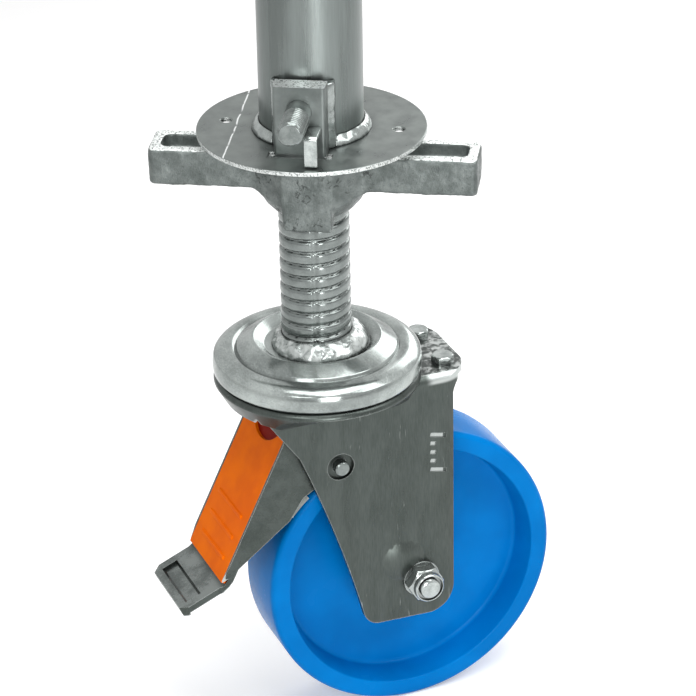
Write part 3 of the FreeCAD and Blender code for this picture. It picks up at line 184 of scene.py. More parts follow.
def copied(node):
    """The solid's mesh as joined faces, with the flat parts in one piece."""
    bm = bmesh.new()
    bm.from_mesh(NODES[node].data)
    bmesh.ops.remove_doubles(bm, verts=bm.verts, dist=0.001 * MM)
    bmesh.ops.dissolve_limit(bm, angle_limit=radians(0.4), verts=bm.verts, edges=bm.edges)
    return bm


def to_mesh(name, bm):
    mesh = bpy.data.meshes.new(name)
    bm.to_mesh(mesh)
    bm.free()
    for layer in ("custom_normal", "sharp_edge", "sharp_face"):
        if layer in mesh.attributes:
            mesh.attributes.remove(mesh.attributes[layer])
    return mesh


def sharp_edges(bm):
    return [edge for edge in bm.edges
            if len(edge.link_faces) == 2 and edge.calc_face_angle(0.0) > LEAST_EDGE]


def bevelled(bm, edges, width, steps):
    bmesh.ops.bevel(bm, geom=edges, offset=width * MM, offset_type="OFFSET", segments=steps,
                    profile=0.5, affect="EDGES", clamp_overlap=True)


def softened(node, width, material, steps=2, folded=None, fold=0.0, plain=None):
    """The node's solid with its edges broken by a small round, and its folds by a wide one.

    Between the two x values of plain the edges stay as they are."""
    bm = copied(node)
    for x in plain or ():
        bmesh.ops.bisect_plane(bm, geom=bm.verts[:] + bm.edges[:] + bm.faces[:],
                               plane_co=(x * MM, 0, 0), plane_no=(1, 0, 0), dist=0.001 * MM)
    if folded:
        folds = [edge for edge in sharp_edges(bm)
                 if all(folded(vert.co / MM) for vert in edge.verts)]
        bevelled(bm, folds, fold, 5)
    edges = sharp_edges(bm)
    if plain:
        low, high = (x * MM for x in plain)
        edges = [edge for edge in edges
                 if not low < (edge.verts[0].co.x + edge.verts[1].co.x) / 2 < high]
    bevelled(bm, edges, width, steps)
    mesh = to_mesh(f"{node}_dressed", bm)
    piece = show(f"{node}_dressed", mesh, node, material)
    mesh.set_sharp_from_angle(angle=SHADING_BREAK)
    even = piece.modifiers.new("Even shading", "WEIGHTED_NORMAL")
    even.weight = 100
    even.keep_sharp = True


def remeshed(node, voxel, roughen, material):
    """The node's solid as one dense skin, smoothed and given an uneven cast surface."""
    smooth_rounds = 3
    source = bpy.data.objects.new("remesh_source", to_mesh("remesh_source", copied(node)))
    bpy.context.scene.collection.objects.link(source)
    dense = source.modifiers.new("Skin", "REMESH")
    dense.mode = "VOXEL"
    dense.voxel_size = voxel * MM
    graph = bpy.context.evaluated_depsgraph_get()
    mesh = bpy.data.meshes.new_from_object(source.evaluated_get(graph))
    bpy.data.objects.remove(source)
    bm = bmesh.new()
    bm.from_mesh(mesh)
    for _ in range(smooth_rounds):
        bmesh.ops.smooth_vert(bm, verts=bm.verts, factor=0.5, use_axis_x=True, use_axis_y=True,
                              use_axis_z=True)
    bm.normal_update()
    moves = [(vert, vert.normal * roughen(vert.co / MM) * MM) for vert in bm.verts]
    for vert, move in moves:
        vert.co += move
    mesh.clear_geometry()
    bm.to_mesh(mesh)
    bm.free()
    mesh.name = f"{node}_dressed"
    show(f"{node}_dressed", mesh, node, material)


# Materials
def srgb(red, green, blue):
    """A colour read as it is seen, from 0 to 255, as the shader wants it."""
    return tuple(((c / 255 + 0.055) / 1.055) ** 2.4 if c > 10 else c / 3300
                 for c in (red, green, blue)) + (1.0,)


class Paint:
    """Builds one node material step by step."""

    def __init__(self, name, metallic=0.0, roughness=0.5):
        self.material = bpy.data.materials.new(name)
        self.material.use_nodes = True
        self.tree = self.material.node_tree
        self.tree.nodes.clear()
        self.shader = self.add("ShaderNodeBsdfPrincipled")
        output = self.add("ShaderNodeOutputMaterial")
        self.tree.links.new(self.shader.outputs["BSDF"], output.inputs["Surface"])
        self.spot = self.add("ShaderNodeTexCoord").outputs["Object"]
        self.shader.inputs["Metallic"].default_value = metallic
        self.shader.inputs["Roughness"].default_value = roughness

    def add(self, kind, **settings):
        node = self.tree.nodes.new(kind)
        for name, value in settings.items():
            setattr(node, name, value)
        return node

    def put(self, socket, value):
        if isinstance(value, bpy.types.NodeSocket):
            self.tree.links.new(value, socket)
        else:
            socket.default_value = value

    def noise(self, size, detail=4.0, grain=0.55, stretch=(1, 1, 1), twist=0.0):
        """Noise whose features are about `size` millimetres wide."""
        mapping = self.add("ShaderNodeMapping")
        self.put(mapping.inputs["Vector"], self.spot)
        mapping.inputs["Scale"].default_value = stretch
        texture = self.add("ShaderNodeTexNoise")
        self.put(texture.inputs["Vector"], mapping.outputs["Vector"])
        texture.inputs["Scale"].default_value = 1 / (size * MM)
        texture.inputs["Detail"].default_value = detail
        texture.inputs["Roughness"].default_value = grain
        texture.inputs["Distortion"].default_value = twist
        return texture.outputs["Fac"]

    def span(self, value, from_low, from_high, to_low=0.0, to_high=1.0):
        node = self.add("ShaderNodeMapRange", interpolation_type="SMOOTHSTEP")
        for name, number in (("Value", value), ("From Min", from_low), ("From Max", from_high),
                             ("To Min", to_low), ("To Max", to_high)):
            self.put(node.inputs[name], number)
        return node.outputs["Result"]

    def calc(self, kind, first, second):
        node = self.add("ShaderNodeMath", operation=kind)
        self.put(node.inputs[0], first)
        self.put(node.inputs[1], second)
        return node.outputs["Value"]

    def both(self, first, second):
        return self.calc("MULTIPLY", first, second)

    def blend(self, first, second, share):
        """The first value with a share of the second."""
        return self.calc("ADD", self.both(first, 1 - share), self.both(second, share))

    def within(self, *bounds):
        """1 where each (place, from, to) in millimetres holds, with a soft start."""
        inside = 1.0
        for place, low, high in bounds:
            inside = self.both(inside, self.span(place, low * MM, high * MM))
        return inside

    def axes(self):
        split = self.add("ShaderNodeSeparateXYZ")
        self.put(split.inputs["Vector"], self.spot)
        return [split.outputs[axis] for axis in "XYZ"]

    def mix(self, amount, first, second):
        node = self.add("ShaderNodeMix", data_type="RGBA")
        self.put(node.inputs["Factor"], amount)
        self.put(node.inputs["A"], first)
        self.put(node.inputs["B"], second)
        return node.outputs["Result"]

    def hollow(self, reach, inside=False):
        """How open the surface is: low in recesses or, from inside, low near outer edges."""
        node = self.add("ShaderNodeAmbientOcclusion", samples=6, inside=inside, only_local=inside)
        node.inputs["Distance"].default_value = reach * MM
        return node.outputs["AO"]

    def recess(self, reach, shut=0.25):
        """1 in recesses of a size, 0 in the open."""
        return self.calc("SUBTRACT", 1.0, self.span(self.hollow(reach), shut, 0.95))

    def edges(self, reach, start=0.62, full=0.35):
        """1 at outer edges, 0 away from them."""
        return self.span(self.hollow(reach, inside=True), start, full)

    def along(self, axis):
        """Distance of the place along a direction."""
        node = self.add("ShaderNodeVectorMath", operation="DOT_PRODUCT")
        self.put(node.inputs[0], self.spot)
        node.inputs[1].default_value = axis
        return node.outputs["Value"]

    def towards(self, axis):
        """How far the surface faces a direction."""
        node = self.add("ShaderNodeVectorMath", operation="DOT_PRODUCT")
        self.put(node.inputs[0], self.add("ShaderNodeNewGeometry").outputs["Normal"])
        node.inputs[1].default_value = axis
        return node.outputs["Value"]

    def upward(self, low, high):
        """1 on faces that look up, 0 on upright ones."""
        split = self.add("ShaderNodeSeparateXYZ")
        self.put(split.inputs["Vector"], self.add("ShaderNodeNewGeometry").outputs["Normal"])
        return self.span(split.outputs["Z"], low, high)

    def colour(self, value):
        self.put(self.shader.inputs["Base Color"], value)

    def roughness(self, value):
        self.put(self.shader.inputs["Roughness"], value)

    def bump(self, height, depth):
        """Fine relief, `depth` millimetres deep."""
        node = self.add("ShaderNodeBump")
        node.inputs["Distance"].default_value = depth * MM
        self.put(node.inputs["Height"], height)
        self.put(self.shader.inputs["Normal"], node.outputs["Normal"])


METAL = 0.85
CLOUDY = (0.3, 0.7)
MIXED = (0.32, 0.68)
# A near black for painted shade, with some dirt, in recesses
SHADE_AND_DIRT = srgb(38, 40, 39)
WORN = srgb(214, 218, 216)


def steel(name, dark, light, patch=14.0, streak=(1, 1, 1), shine=(0.28, 0.46), grain_depth=0.05,
          shade_and_dirt=0.45, wear=0.5, edge_reach=1.6):
    """Zinc coated steel: cloudy patches, fine grain, painted shade with some dirt in recesses, and
    brighter edges.
    """
    paint = Paint(name, metallic=METAL)
    clouds = paint.noise(patch, detail=6.0, stretch=streak)
    grain = paint.noise(0.9, detail=2.0, stretch=streak)
    tone = paint.blend(clouds, grain, 0.25)
    base = paint.mix(paint.span(tone, *MIXED), dark, light)
    # Recesses darken towards a near black: painted shade, with some dirt
    base = paint.mix(paint.both(paint.recess(9.0), shade_and_dirt), base, SHADE_AND_DIRT)
    paint.colour(paint.mix(paint.both(paint.edges(edge_reach), wear), base, WORN))
    paint.roughness(paint.span(clouds, *CLOUDY, *shine))
    paint.bump(tone, grain_depth)
    return paint.material


def casting(name):
    """Galvanised casting: mottled dark skin, a rough painted highlight on its upper faces and
    bright patches at edges.
    """
    paint = Paint(name, metallic=0.8)
    blotch = paint.noise(12.0, detail=8.0, grain=0.6)
    pits = paint.noise(1.6, detail=3.0, grain=0.7)
    tone = paint.mix(paint.span(blotch, *CLOUDY), srgb(88, 94, 92), srgb(116, 122, 120))
    specks = paint.span(pits, 0.56, 0.7)
    tone = paint.mix(paint.both(specks, 0.35), tone, srgb(62, 66, 65))

    # The hub carries dark crackle in patches
    flat = paint.add("ShaderNodeVectorMath", operation="MULTIPLY")
    paint.put(flat.inputs[0], paint.spot)
    flat.inputs[1].default_value = (1, 1, 0)
    reach = paint.add("ShaderNodeVectorMath", operation="LENGTH")
    paint.put(reach.inputs[0], flat.outputs["Vector"])
    on_hub = paint.span(reach.outputs["Value"], 48 * MM, 40 * MM)
    crackle = paint.span(paint.noise(4.5, detail=4.0, grain=0.6, twist=1.5), 0.52, 0.6)
    patches = paint.span(paint.noise(17.0, detail=2.0), 0.5, 0.58)
    crackle = paint.both(paint.both(crackle, patches), on_hub)
    tone = paint.mix(paint.both(crackle, 0.75), tone, srgb(44, 47, 46))

    # Upper faces carry a painted highlight, and edges are whitish in patches
    top_highlight = paint.both(paint.upward(0.6, 0.9), paint.span(pits, 0.38, 0.52))
    tone = paint.mix(top_highlight, tone, srgb(232, 236, 234))
    patchy = paint.both(paint.edges(2.6, 0.66, 0.34), paint.span(blotch, 0.38, 0.56))
    paint.colour(paint.mix(patchy, tone, srgb(236, 240, 238)))
    paint.roughness(paint.span(pits, *CLOUDY, 0.34, 0.58))
    paint.bump(paint.calc("ADD", pits, paint.noise(0.7, detail=2.0)), 0.22)
    return paint.material


def weld(name):
    """Zinc coated weld metal: bright lumps with dark pinholes."""
    paint = Paint(name, metallic=0.8)
    lumps = paint.noise(8.0, detail=3.0, grain=0.5, twist=0.8)
    pins = paint.span(paint.noise(2.6, detail=2.0), 0.68, 0.73)
    tone = paint.mix(paint.span(lumps, 0.34, 0.66), srgb(146, 152, 150), srgb(200, 205, 203))
    tone = paint.mix(paint.both(pins, 0.8), tone, srgb(44, 46, 45))
    # Recesses of the bead darken: painted shade
    paint.colour(paint.mix(paint.recess(5.0, 0.3), tone, srgb(58, 60, 59)))
    paint.roughness(paint.span(lumps, *CLOUDY, 0.2, 0.4))
    paint.bump(lumps, 0.2)
    return paint.material


def fork_finish(name):
    """Pressed sheet: fine streaks, a mottled shelf and whitish stamped bars."""
    paint = Paint(name, metallic=METAL)
    clouds = paint.noise(12.0, detail=5.0, stretch=(1, 1, 0.3))
    grain = paint.noise(0.9, detail=2.0, stretch=(1, 1, 0.12))
    tone = paint.blend(clouds, grain, 0.4)
    base = paint.mix(paint.span(tone, *MIXED), srgb(64, 70, 67), srgb(78, 84, 81))
    scar = paint.span(paint.noise(2.4, detail=4.0, stretch=(1, 1, 0.1)), 0.68, 0.74)
    base = paint.mix(paint.both(scar, 0.4), base, srgb(168, 173, 171))

    # The shelf's top is mottled, and its folded end carries a painted highlight
    x, y, z = paint.axes()
    on_shelf = paint.both(paint.within((z, SHELF_Z - 0.9, SHELF_Z - 0.2), (x, 55, 60)),
                          paint.upward(0.5, 0.9))
    mottle = paint.noise(6.0, detail=4.0, twist=0.4)
    shelf = paint.mix(paint.span(mottle, 0.46, 0.64), srgb(68, 73, 71), srgb(180, 184, 182))
    base = paint.mix(on_shelf, base, shelf)
    fold = paint.both(paint.within((z, SHELF_Z - 7.5, SHELF_Z - 5), (x, 60, 66)),
                      paint.calc("SUBTRACT", 1.0, on_shelf))
    base = paint.mix(fold, base, srgb(176, 181, 179))

    # The stamped bars lie just under the near cheek's face
    stamped = paint.within((y, CHEEK_Y + 0.02, CHEEK_Y + 0.1), (y, CHEEK_Y + 2.0, CHEEK_Y + 1.4),
                           (x, 58, 59), (x, 72, 71.5), (z, -210, -212), (z, -248, -246))
    base = paint.mix(stamped, base, srgb(164, 169, 167))
    # Recesses darken towards a near black: painted shade, with some dirt
    base = paint.mix(paint.both(paint.recess(9.0), 0.45), base, SHADE_AND_DIRT)
    paint.colour(paint.mix(paint.both(paint.edges(1.6), 0.55), base, WORN))
    paint.roughness(paint.span(clouds, *CLOUDY, 0.26, 0.38))
    paint.bump(tone, 0.02)
    return paint.material


def lever_finish(name):
    """Pressed lever: plain sides, and a foot plate that is lighter on its upward faces."""
    paint = Paint(name, metallic=METAL)
    clouds = paint.noise(16.0, detail=5.0)
    grain = paint.noise(1.2, detail=3.0)
    tone = paint.blend(clouds, grain, 0.3)
    side = paint.mix(paint.span(tone, 0.34, 0.66), srgb(60, 66, 63), srgb(76, 82, 79))
    foot_top_tone = paint.mix(paint.span(tone, 0.36, 0.62), srgb(88, 94, 92), srgb(126, 132, 130))
    on_foot = paint.both(paint.within((paint.along((-1, 0, 0)), 79, 84)), paint.upward(0.3, 0.8))
    base = paint.mix(on_foot, side, foot_top_tone)
    # Recesses darken towards a near black: painted shade, with some dirt
    base = paint.mix(paint.both(paint.recess(7.0), 0.6), base, SHADE_AND_DIRT)
    paint.colour(paint.mix(paint.edges(1.2, 0.66, 0.42), base, srgb(176, 181, 179)))
    paint.roughness(paint.span(clouds, *CLOUDY, 0.2, 0.32))
    paint.bump(tone, 0.02)
    return paint.material


def disc_finish(name):
    """Zinc coated plate with clouds, a painted highlight on its rim and one long scratch."""
    paint = Paint(name, metallic=METAL)
    clouds = paint.noise(16.0, detail=6.0, grain=0.6)
    grain = paint.noise(1.0, detail=2.0)
    tone = paint.mix(paint.span(clouds, *CLOUDY), srgb(102, 108, 106), srgb(124, 130, 127))
    # Upright faces at the rim carry a speckled painted highlight
    upright = paint.calc("SUBTRACT", 1.0, paint.upward(0.3, 0.75))
    rim = paint.both(upright, paint.span(grain, 0.3, 0.6))
    tone = paint.mix(paint.both(rim, 0.9), tone, srgb(226, 230, 228))

    # The scratch crosses the plate from one rim place to another, with a slight waver
    start, end = Vector((-15.9, 67.3)) * MM, Vector((-57.6, -6.5)) * MM
    along = (end - start).normalized()
    x, y, _ = paint.axes()
    across = paint.calc("ADD", paint.both(x, -along.y), paint.both(y, along.x))
    offset = start.x * along.y - start.y * along.x
    sway = paint.calc("SUBTRACT", paint.noise(18.0, detail=2.0), 0.5)
    waver = paint.both(sway, 2.2 * MM)
    away = paint.calc("ADD", paint.calc("ADD", across, offset), waver)
    line = paint.span(paint.calc("ABSOLUTE", away, 0.0), 0.7 * MM, 0.2 * MM)
    broken = paint.span(paint.noise(9.0, detail=3.0), 0.36, 0.5)
    scratch = paint.both(paint.both(line, broken), paint.upward(0.6, 0.9))
    tone = paint.mix(scratch, tone, srgb(236, 239, 238))
    # Recesses and holes darken: painted shade
    paint.colour(paint.mix(paint.recess(8.0, 0.3), tone, srgb(52, 55, 54)))
    paint.roughness(paint.span(clouds, *CLOUDY, 0.26, 0.4))
    paint.bump(clouds, 0.03)
    return paint.material


def lug_finish(name):
    """Zinc coated lug: plain faces and a speckled painted highlight on its upper end."""
    paint = Paint(name, metallic=METAL)
    clouds = paint.noise(10.0, detail=6.0)
    specks = paint.noise(1.3, detail=3.0, grain=0.7)
    tone = paint.mix(paint.span(clouds, *CLOUDY), srgb(104, 110, 108), srgb(120, 126, 124))
    # The upper end's faces carry a speckled painted highlight
    top = paint.both(paint.upward(0.25, 0.6), paint.span(specks, 0.36, 0.5))
    paint.colour(paint.mix(top, tone, srgb(240, 243, 242)))
    paint.roughness(paint.span(clouds, *CLOUDY, 0.28, 0.4))
    paint.bump(specks, 0.12)
    return paint.material


def plastic(name, deep, face, shine, depth, patch=26.0, notch_shade=None):
    """Moulded or powder coated surface: slight cloudiness, orange peel and soft scuffs."""
    paint = Paint(name)
    paint.shader.inputs["IOR"].default_value = 1.12
    clouds = paint.noise(patch, detail=3.0)
    peel = paint.noise(0.8, detail=2.0)
    scuffs = paint.span(paint.noise(4.0, detail=5.0, stretch=(1, 1, 0.25)), 0.64, 0.8)
    base = paint.mix(paint.span(clouds, *CLOUDY), deep, face)
    # Recesses darken towards the deep colour: painted shade
    shade = paint.span(paint.hollow(12.0), 0.1, 0.9)
    base = paint.mix(paint.both(paint.calc("SUBTRACT", 1.0, shade), 0.5), base, deep)
    # The notch floor below the pad's face is painted dark red: painted shade
    if notch_shade:
        level = paint.along(PAD_NORMAL)
        facing = paint.span(paint.towards(PAD_NORMAL), 0.6, 0.9)
        below = paint.within((level, PAD_LEVEL - 0.8, PAD_LEVEL - 1.2))
        base = paint.mix(paint.both(below, facing), base, notch_shade)
    paint.colour(base)
    scuffed = paint.both(scuffs, 0.12)
    paint.roughness(paint.calc("ADD", paint.span(clouds, *CLOUDY, *shine), scuffed))
    paint.bump(peel, depth)
    return paint.material


STREAKS = (1.0, 1.0, 0.06)
tube_steel = steel("tube_steel", srgb(108, 114, 112), srgb(126, 133, 131), patch=9.0,
                   streak=STREAKS, shine=(0.24, 0.36), grain_depth=0.015)
zinc_steel = steel("zinc_steel", srgb(98, 104, 101), srgb(112, 118, 115), patch=11.0,
                   shine=(0.3, 0.42), grain_depth=0.03)
fork_steel = fork_finish("fork_steel")
lever_steel = lever_finish("lever_steel")
bright_zinc = steel("bright_zinc", srgb(128, 134, 131), srgb(182, 188, 186), patch=6.0,
                    shine=(0.1, 0.2), shade_and_dirt=0.8, wear=0.6, edge_reach=0.5)
head_zinc = steel("head_zinc", srgb(122, 128, 126), srgb(176, 183, 180), patch=22.0,
                  streak=(1.0, 0.5, 1.0), shine=(0.14, 0.26), grain_depth=0.012, shade_and_dirt=0.75)
thread_zinc = steel("thread_zinc", srgb(112, 118, 116), srgb(134, 140, 138), patch=7.0,
                    shine=(0.16, 0.26), grain_depth=0.02, shade_and_dirt=0.7, wear=0.6, edge_reach=0.7)
ball_steel = steel("ball_steel", srgb(150, 154, 154), srgb(176, 180, 180), patch=8.0,
                   shine=(0.08, 0.16), grain_depth=0.01)
spring_steel = steel("spring_steel", srgb(70, 72, 72), srgb(98, 101, 100), patch=9.0)
shoe_steel = steel("shoe_steel", srgb(104, 108, 106), srgb(130, 135, 132), patch=9.0)
bead_zinc = steel("bead_zinc", srgb(132, 138, 136), srgb(168, 174, 172), patch=9.0,
                  shine=(0.12, 0.2), grain_depth=0.03, shade_and_dirt=0.8, wear=0.0)
pin_zinc = steel("pin_zinc", srgb(104, 110, 108), srgb(134, 140, 138), patch=7.0,
                 shine=(0.1, 0.18), grain_depth=0.03, shade_and_dirt=0.7, wear=0.3, edge_reach=0.5)
nut_zinc = steel("nut_zinc", srgb(146, 152, 150), srgb(186, 192, 190), patch=7.0,
                 shine=(0.08, 0.16), grain_depth=0.01, shade_and_dirt=0.6, wear=0.4, edge_reach=0.5)
disc_zinc = disc_finish("disc_zinc")
lug_zinc = lug_finish("lug_zinc")
cast_zinc = casting("cast_zinc")
weld_zinc = weld("weld_zinc")
cap_plastic = plastic("cap_plastic", srgb(24, 25, 26), srgb(38, 39, 40), (0.4, 0.5), 0.03)
wheel_blue = plastic("wheel_blue", srgb(0, 104, 176), srgb(0, 118, 194), (0.2, 0.28), 0.01,
                     patch=60.0)
pad_orange = plastic("pad_orange", srgb(232, 102, 0), srgb(246, 116, 0), (0.34, 0.44), 0.04,
                     notch_shade=srgb(136, 22, 4))

FINISH = {"tube_steel": tube_steel, "zinc_steel": zinc_steel, "cast_zinc": cast_zinc,
          "bright_zinc": bright_zinc, "ball_steel": ball_steel, "spring_steel": spring_steel,
          "cap_plastic": cap_plastic, "wheel_blue": wheel_blue, "pad_orange": pad_orange,
          "shoe_steel": shoe_steel}

for node_name, node_object in NODES.items():
    for slot in node_object.material_slots:
        slot.material = FINISH[SLOT_OF[node_name]]


# Swivel head, turned from the same outline as its solid
def make_head():
    rim, ridge = DISH_Z + 5.1, DISH_Z - 0.7
    roof, lining = DISH_Z - 5.7, 62.5
    corners = [
        (8.0, DISH_Z - 4), (36.0, DISH_Z - 4), (41.5, rim - 4.8), (49.4, ridge - 3.4),
        (50.4, roof), (60.5, roof), (lining, roof - 2.5), (lining, HEAD_LOW), (65.8, HEAD_LOW),
        (67.0, HEAD_LOW + 2, 20, 1), (66.4, HEAD_LOW + 12, 11, 1), (58.0, DISH_Z - 1.5, 8, 1),
        (52.4, DISH_Z - 2.7), (51.4, ridge), (42.0, rim - 0.4, 2, 1), (40.0, rim - 0.4),
        (34.0, DISH_Z), (8.0, DISH_Z)]

    def wavy(spot):
        return spot + Vector((0, 0, bumpy(spot, 45.0, 0.25, layers=1)))

    mesh = lathe("head_dressed", rounded(outline(corners), 1.6), 192, roughen=wavy)
    show("head_dressed", mesh, "swivel_head", head_zinc)


# Wheel with its rim, recess and hub
def make_wheel():
    bore, hub, hub_end = 15.0, 24.0, 30.1
    tread, half_width, web_half = 100.0, 24.0, 3.5
    fillet, shoulder = 3.0, 4.0
    side = [
        (bore, -hub_end), (hub, -hub_end), (27.0, -web_half - fillet, fillet, -1),
        (30.0, -web_half), (81.0, -web_half, fillet, -1), (84.0, -web_half - fillet),
        (87.0, -half_width), (tread - shoulder, -half_width, shoulder, 1),
        (tread, -half_width + shoulder)]
    profile = outline(side + mirrored(side), steps=6)
    mesh = lathe("wheel_dressed", rounded(profile, 1.5), 224, centre=AXLE)
    show("wheel_dressed", mesh, "wheel", wheel_blue)


# Threaded spindle as one closed skin: a round thread outside, cut by the keyway, and a plain bore
def make_spindle():
    crest, root, bore, pitch = 22.5, 20.9, 15.0, 8.5
    bottom, top = DISH_Z, 60.0
    thread_low, thread_high, lead_in = bottom + 6.5, top - 4.5, 4.5
    ridge_share, keyway, key_half, key_flank, key_floor = 0.86, radians(-112), 1.4, 0.5, 0.35
    fine_top, step, count = -8.0, 0.45, 144
    heights = [bottom]
    while heights[-1] < fine_top:
        heights.append(heights[-1] + step)
    while heights[-1] < top - 1.0:
        heights.append(heights[-1] + 2 * step)
    heights.append(top)

    def radius_at(angle, height):
        if height < thread_low:
            return crest
        if height > thread_high:
            return root
        phase = (height - thread_low - lead_in) / pitch - angle / (2 * math.pi)
        off = abs(phase - round(phase)) * 2
        ridge = math.sqrt(max(1.0 - (off / ridge_share) ** 4, 0.0)) if off < ridge_share else 0.0
        across = abs(sin(angle - keyway)) * crest if cos(angle - keyway) > 0 else crest
        keyed = min(max((across - key_half) / key_flank, 0.0), 1.0)
        nick = bumpy(turned(crest, angle, height), 5.0, 0.12, layers=2)
        depth = (crest - root) * ridge * (key_floor + (1 - key_floor) * keyed)
        return root + depth + nick * ridge

    bm = bmesh.new()
    columns = []
    for i in range(count):
        angle = 2 * math.pi * i / count
        places = [turned(radius_at(angle, z), angle, z) for z in heights]
        places += [turned(bore, angle, z) for z in (top, bottom)]
        columns.append([bm.verts.new(place * MM) for place in places])
    skin(bm, columns)
    bmesh.ops.recalc_face_normals(bm, faces=bm.faces)
    obj = show("spindle_dressed", to_mesh("spindle_dressed", bm), "spindle", thread_zinc)
    obj.data.set_sharp_from_angle(angle=radians(60))


# Hexagon bolts and nuts, turned with a chamfered hexagon where a row asks for one
def hexed(rows, flats):
    """Closed mesh along Z from (radius, height) rows. A third value cuts a row to the hexagon."""
    half_side, count = math.pi / 6, 96
    bm = bmesh.new()
    rings = []
    for step in range(count):
        angle = 2 * math.pi * step / count
        off = (angle + half_side) % (2 * half_side) - half_side
        flank = flats / 2 / cos(half_side - abs(off))
        ring = []
        for radius, height, *cut in rows:
            reach = min(radius, flank) if cut else radius
            ring.append(bm.verts.new(turned(reach, angle, height)))
        rings.append(ring)
    skin(bm, rings)
    bmesh.ops.remove_doubles(bm, verts=bm.verts, dist=0.002)
    loose = [edge for edge in bm.edges if not edge.link_faces]
    bmesh.ops.delete(bm, geom=loose, context="EDGES")
    return bm


def placed(name, parts, node, material):
    """One mesh from several (bmesh, matrix) parts in millimetres."""
    whole = bmesh.new()
    for part, matrix in parts:
        bmesh.ops.transform(part, matrix=Matrix.Scale(MM, 4) @ matrix, verts=part.verts)
        single = bpy.data.meshes.new("part")
        part.to_mesh(single)
        part.free()
        whole.from_mesh(single)
        bpy.data.meshes.remove(single)
    bmesh.ops.recalc_face_normals(whole, faces=whole.faces)
    obj = show(name, to_mesh(name, whole), node, material)
    obj.data.set_sharp_from_angle(angle=radians(28))


def chamfered(flats, low, high, cut):
    """Rows of a hexagon from one height to another, its corners cut back at the high end."""
    corner = flats / math.sqrt(3.0)
    face = flats / 2 * 0.95
    steps = 6
    rows = [(corner - 0.5, low, True), (corner, low + 0.4, True)]
    for step in range(steps + 1):
        t = step / steps
        rows.append((corner + (face - corner) * t, high - cut * (1 - t), True))
    return rows


def make_fasteners():
    near = Matrix.Translation(AXLE) @ Matrix.Rotation(radians(90), 4, "X")
    far_seat = AXLE + Vector((0, WASHER_FACE, 0))
    far = Matrix.Translation(far_seat) @ Matrix.Rotation(radians(-90), 4, "X")
    thread, groove, lead, flats, cut = 7.0, 6.5, 1.5, 22.0, 1.9

    crown, nut_end, collar, mouth = 49.0, 53.5, 10.2, 8.8
    nut = [(thread, WASHER_FACE)] + chamfered(flats, WASHER_FACE, crown, cut) + [
        (collar, crown + 0.1), (collar, nut_end - 1.3), (collar - 0.3, nut_end - 0.5),
        (collar - 0.8, nut_end), (mouth + 0.2, nut_end - 0.1), (mouth, nut_end - 0.5),
        (mouth, nut_end - 2.0), (thread, nut_end - 2.0)]
    placed("axle_nut_dressed", [(hexed(nut, flats), near)], "axle_nut", nut_zinc)

    thread_start, thread_end, tip = 30.0, 53.0, 55.0
    shank = [(0.0, -WASHER_FACE), (thread, -WASHER_FACE)]
    height = thread_start
    while height < thread_end:
        shank += [(thread, height), (groove, height + lead / 2)]
        height += lead
    shank += [(thread, tip - 1.6), (thread - 0.4, tip - 0.8), (thread - 1.4, tip - 0.2),
              (thread - 3.0, tip), (0.0, tip)]
    bolt_head = [(0.0, 0.0)] + chamfered(flats, 0.0, 9.0, cut) + [(0.0, 9.0)]
    placed("axle_bolt_dressed", [(hexed(shank, flats), near), (hexed(bolt_head, flats), far)],
           "axle_bolt", nut_zinc)

    head_height, head_flats, stem_radius, stem_end = 5.0, 13.0, 4.0, -15.5
    head = [(0.0, 0.0)] + chamfered(head_flats, 0.0, head_height, 1.1) + [(0.0, head_height)]
    stem = [(0.0, stem_end), (stem_radius - 0.5, stem_end), (stem_radius, stem_end + 0.5),
            (stem_radius, 0.5), (0.0, 0.5)]
    parts = []
    for side in (-1, 1):
        seat = Matrix.Translation((BOLT_X, BOLT_Y * side, SHELF_Z))
        turn = Matrix.Rotation(radians(12 * side), 4, "Z")
        parts += [(hexed(head, head_flats), seat @ turn), (hexed(stem, head_flats), seat)]
    placed("shelf_bolts_dressed", parts, "shelf_bolts", nut_zinc)


# Weld bead at the spindle's foot, lumpy and narrower on one side
def make_spindle_bead():
    low, inner = DISH_Z - 0.3, 22.3
    bead = outline([(inner, low), (33.2, low), (33.0, DISH_Z + 1.5, 16, 1), (25.5, DISH_Z + 10.5),
                    (inner, DISH_Z + 10.8)], steps=14)
    thin_side = turned(1.0, radians(150), 0.0)
    thinning = 0.42

    def lumpy(spot):
        out = Vector((spot.x, spot.y, 0)).normalized()
        radius = Vector((spot.x, spot.y)).length
        height = max(0.0, (spot.z - low) / 11.0)
        away = max(0.0, radius - 23.0) / 10.0
        push = bumpy(spot, 8.0, 1.5, layers=1) + bumpy(spot, 3.0, 0.5, layers=2)
        weight = min(1.0, away * 2.0)
        lean = thinning * max(0.0, out.dot(thin_side))
        spot = spot - out * (radius - inner) * lean
        spot.z = low + (spot.z - low) * (1 - 0.5 * lean)
        return spot + (out * 0.6 + Vector((0, 0, 0.8 * min(1.0, height * 3)))) * push * weight

    mesh = lathe("spindle_bead", rounded(bead, 1.2), 200, roughen=lumpy)
    show("spindle_bead", mesh, "spindle_weld", weld_zinc)


# Shapes of single pieces
def on_shelf_rim(spot):
    """The shelf's upper outline, without its bolt holes."""
    from_bolt = math.hypot(spot.x - BOLT_X, abs(spot.y) - BOLT_Y)
    return spot.z > SHELF_Z - 0.1 and spot.x > 60.0 and from_bolt > 6.0


def rough_bead(spot):
    return bumpy(spot, 8.0, 0.5, layers=2)


def rough_cast(spot):
    return bumpy(spot, 14.0, 0.35) + bumpy(spot, 3.0, 0.22)


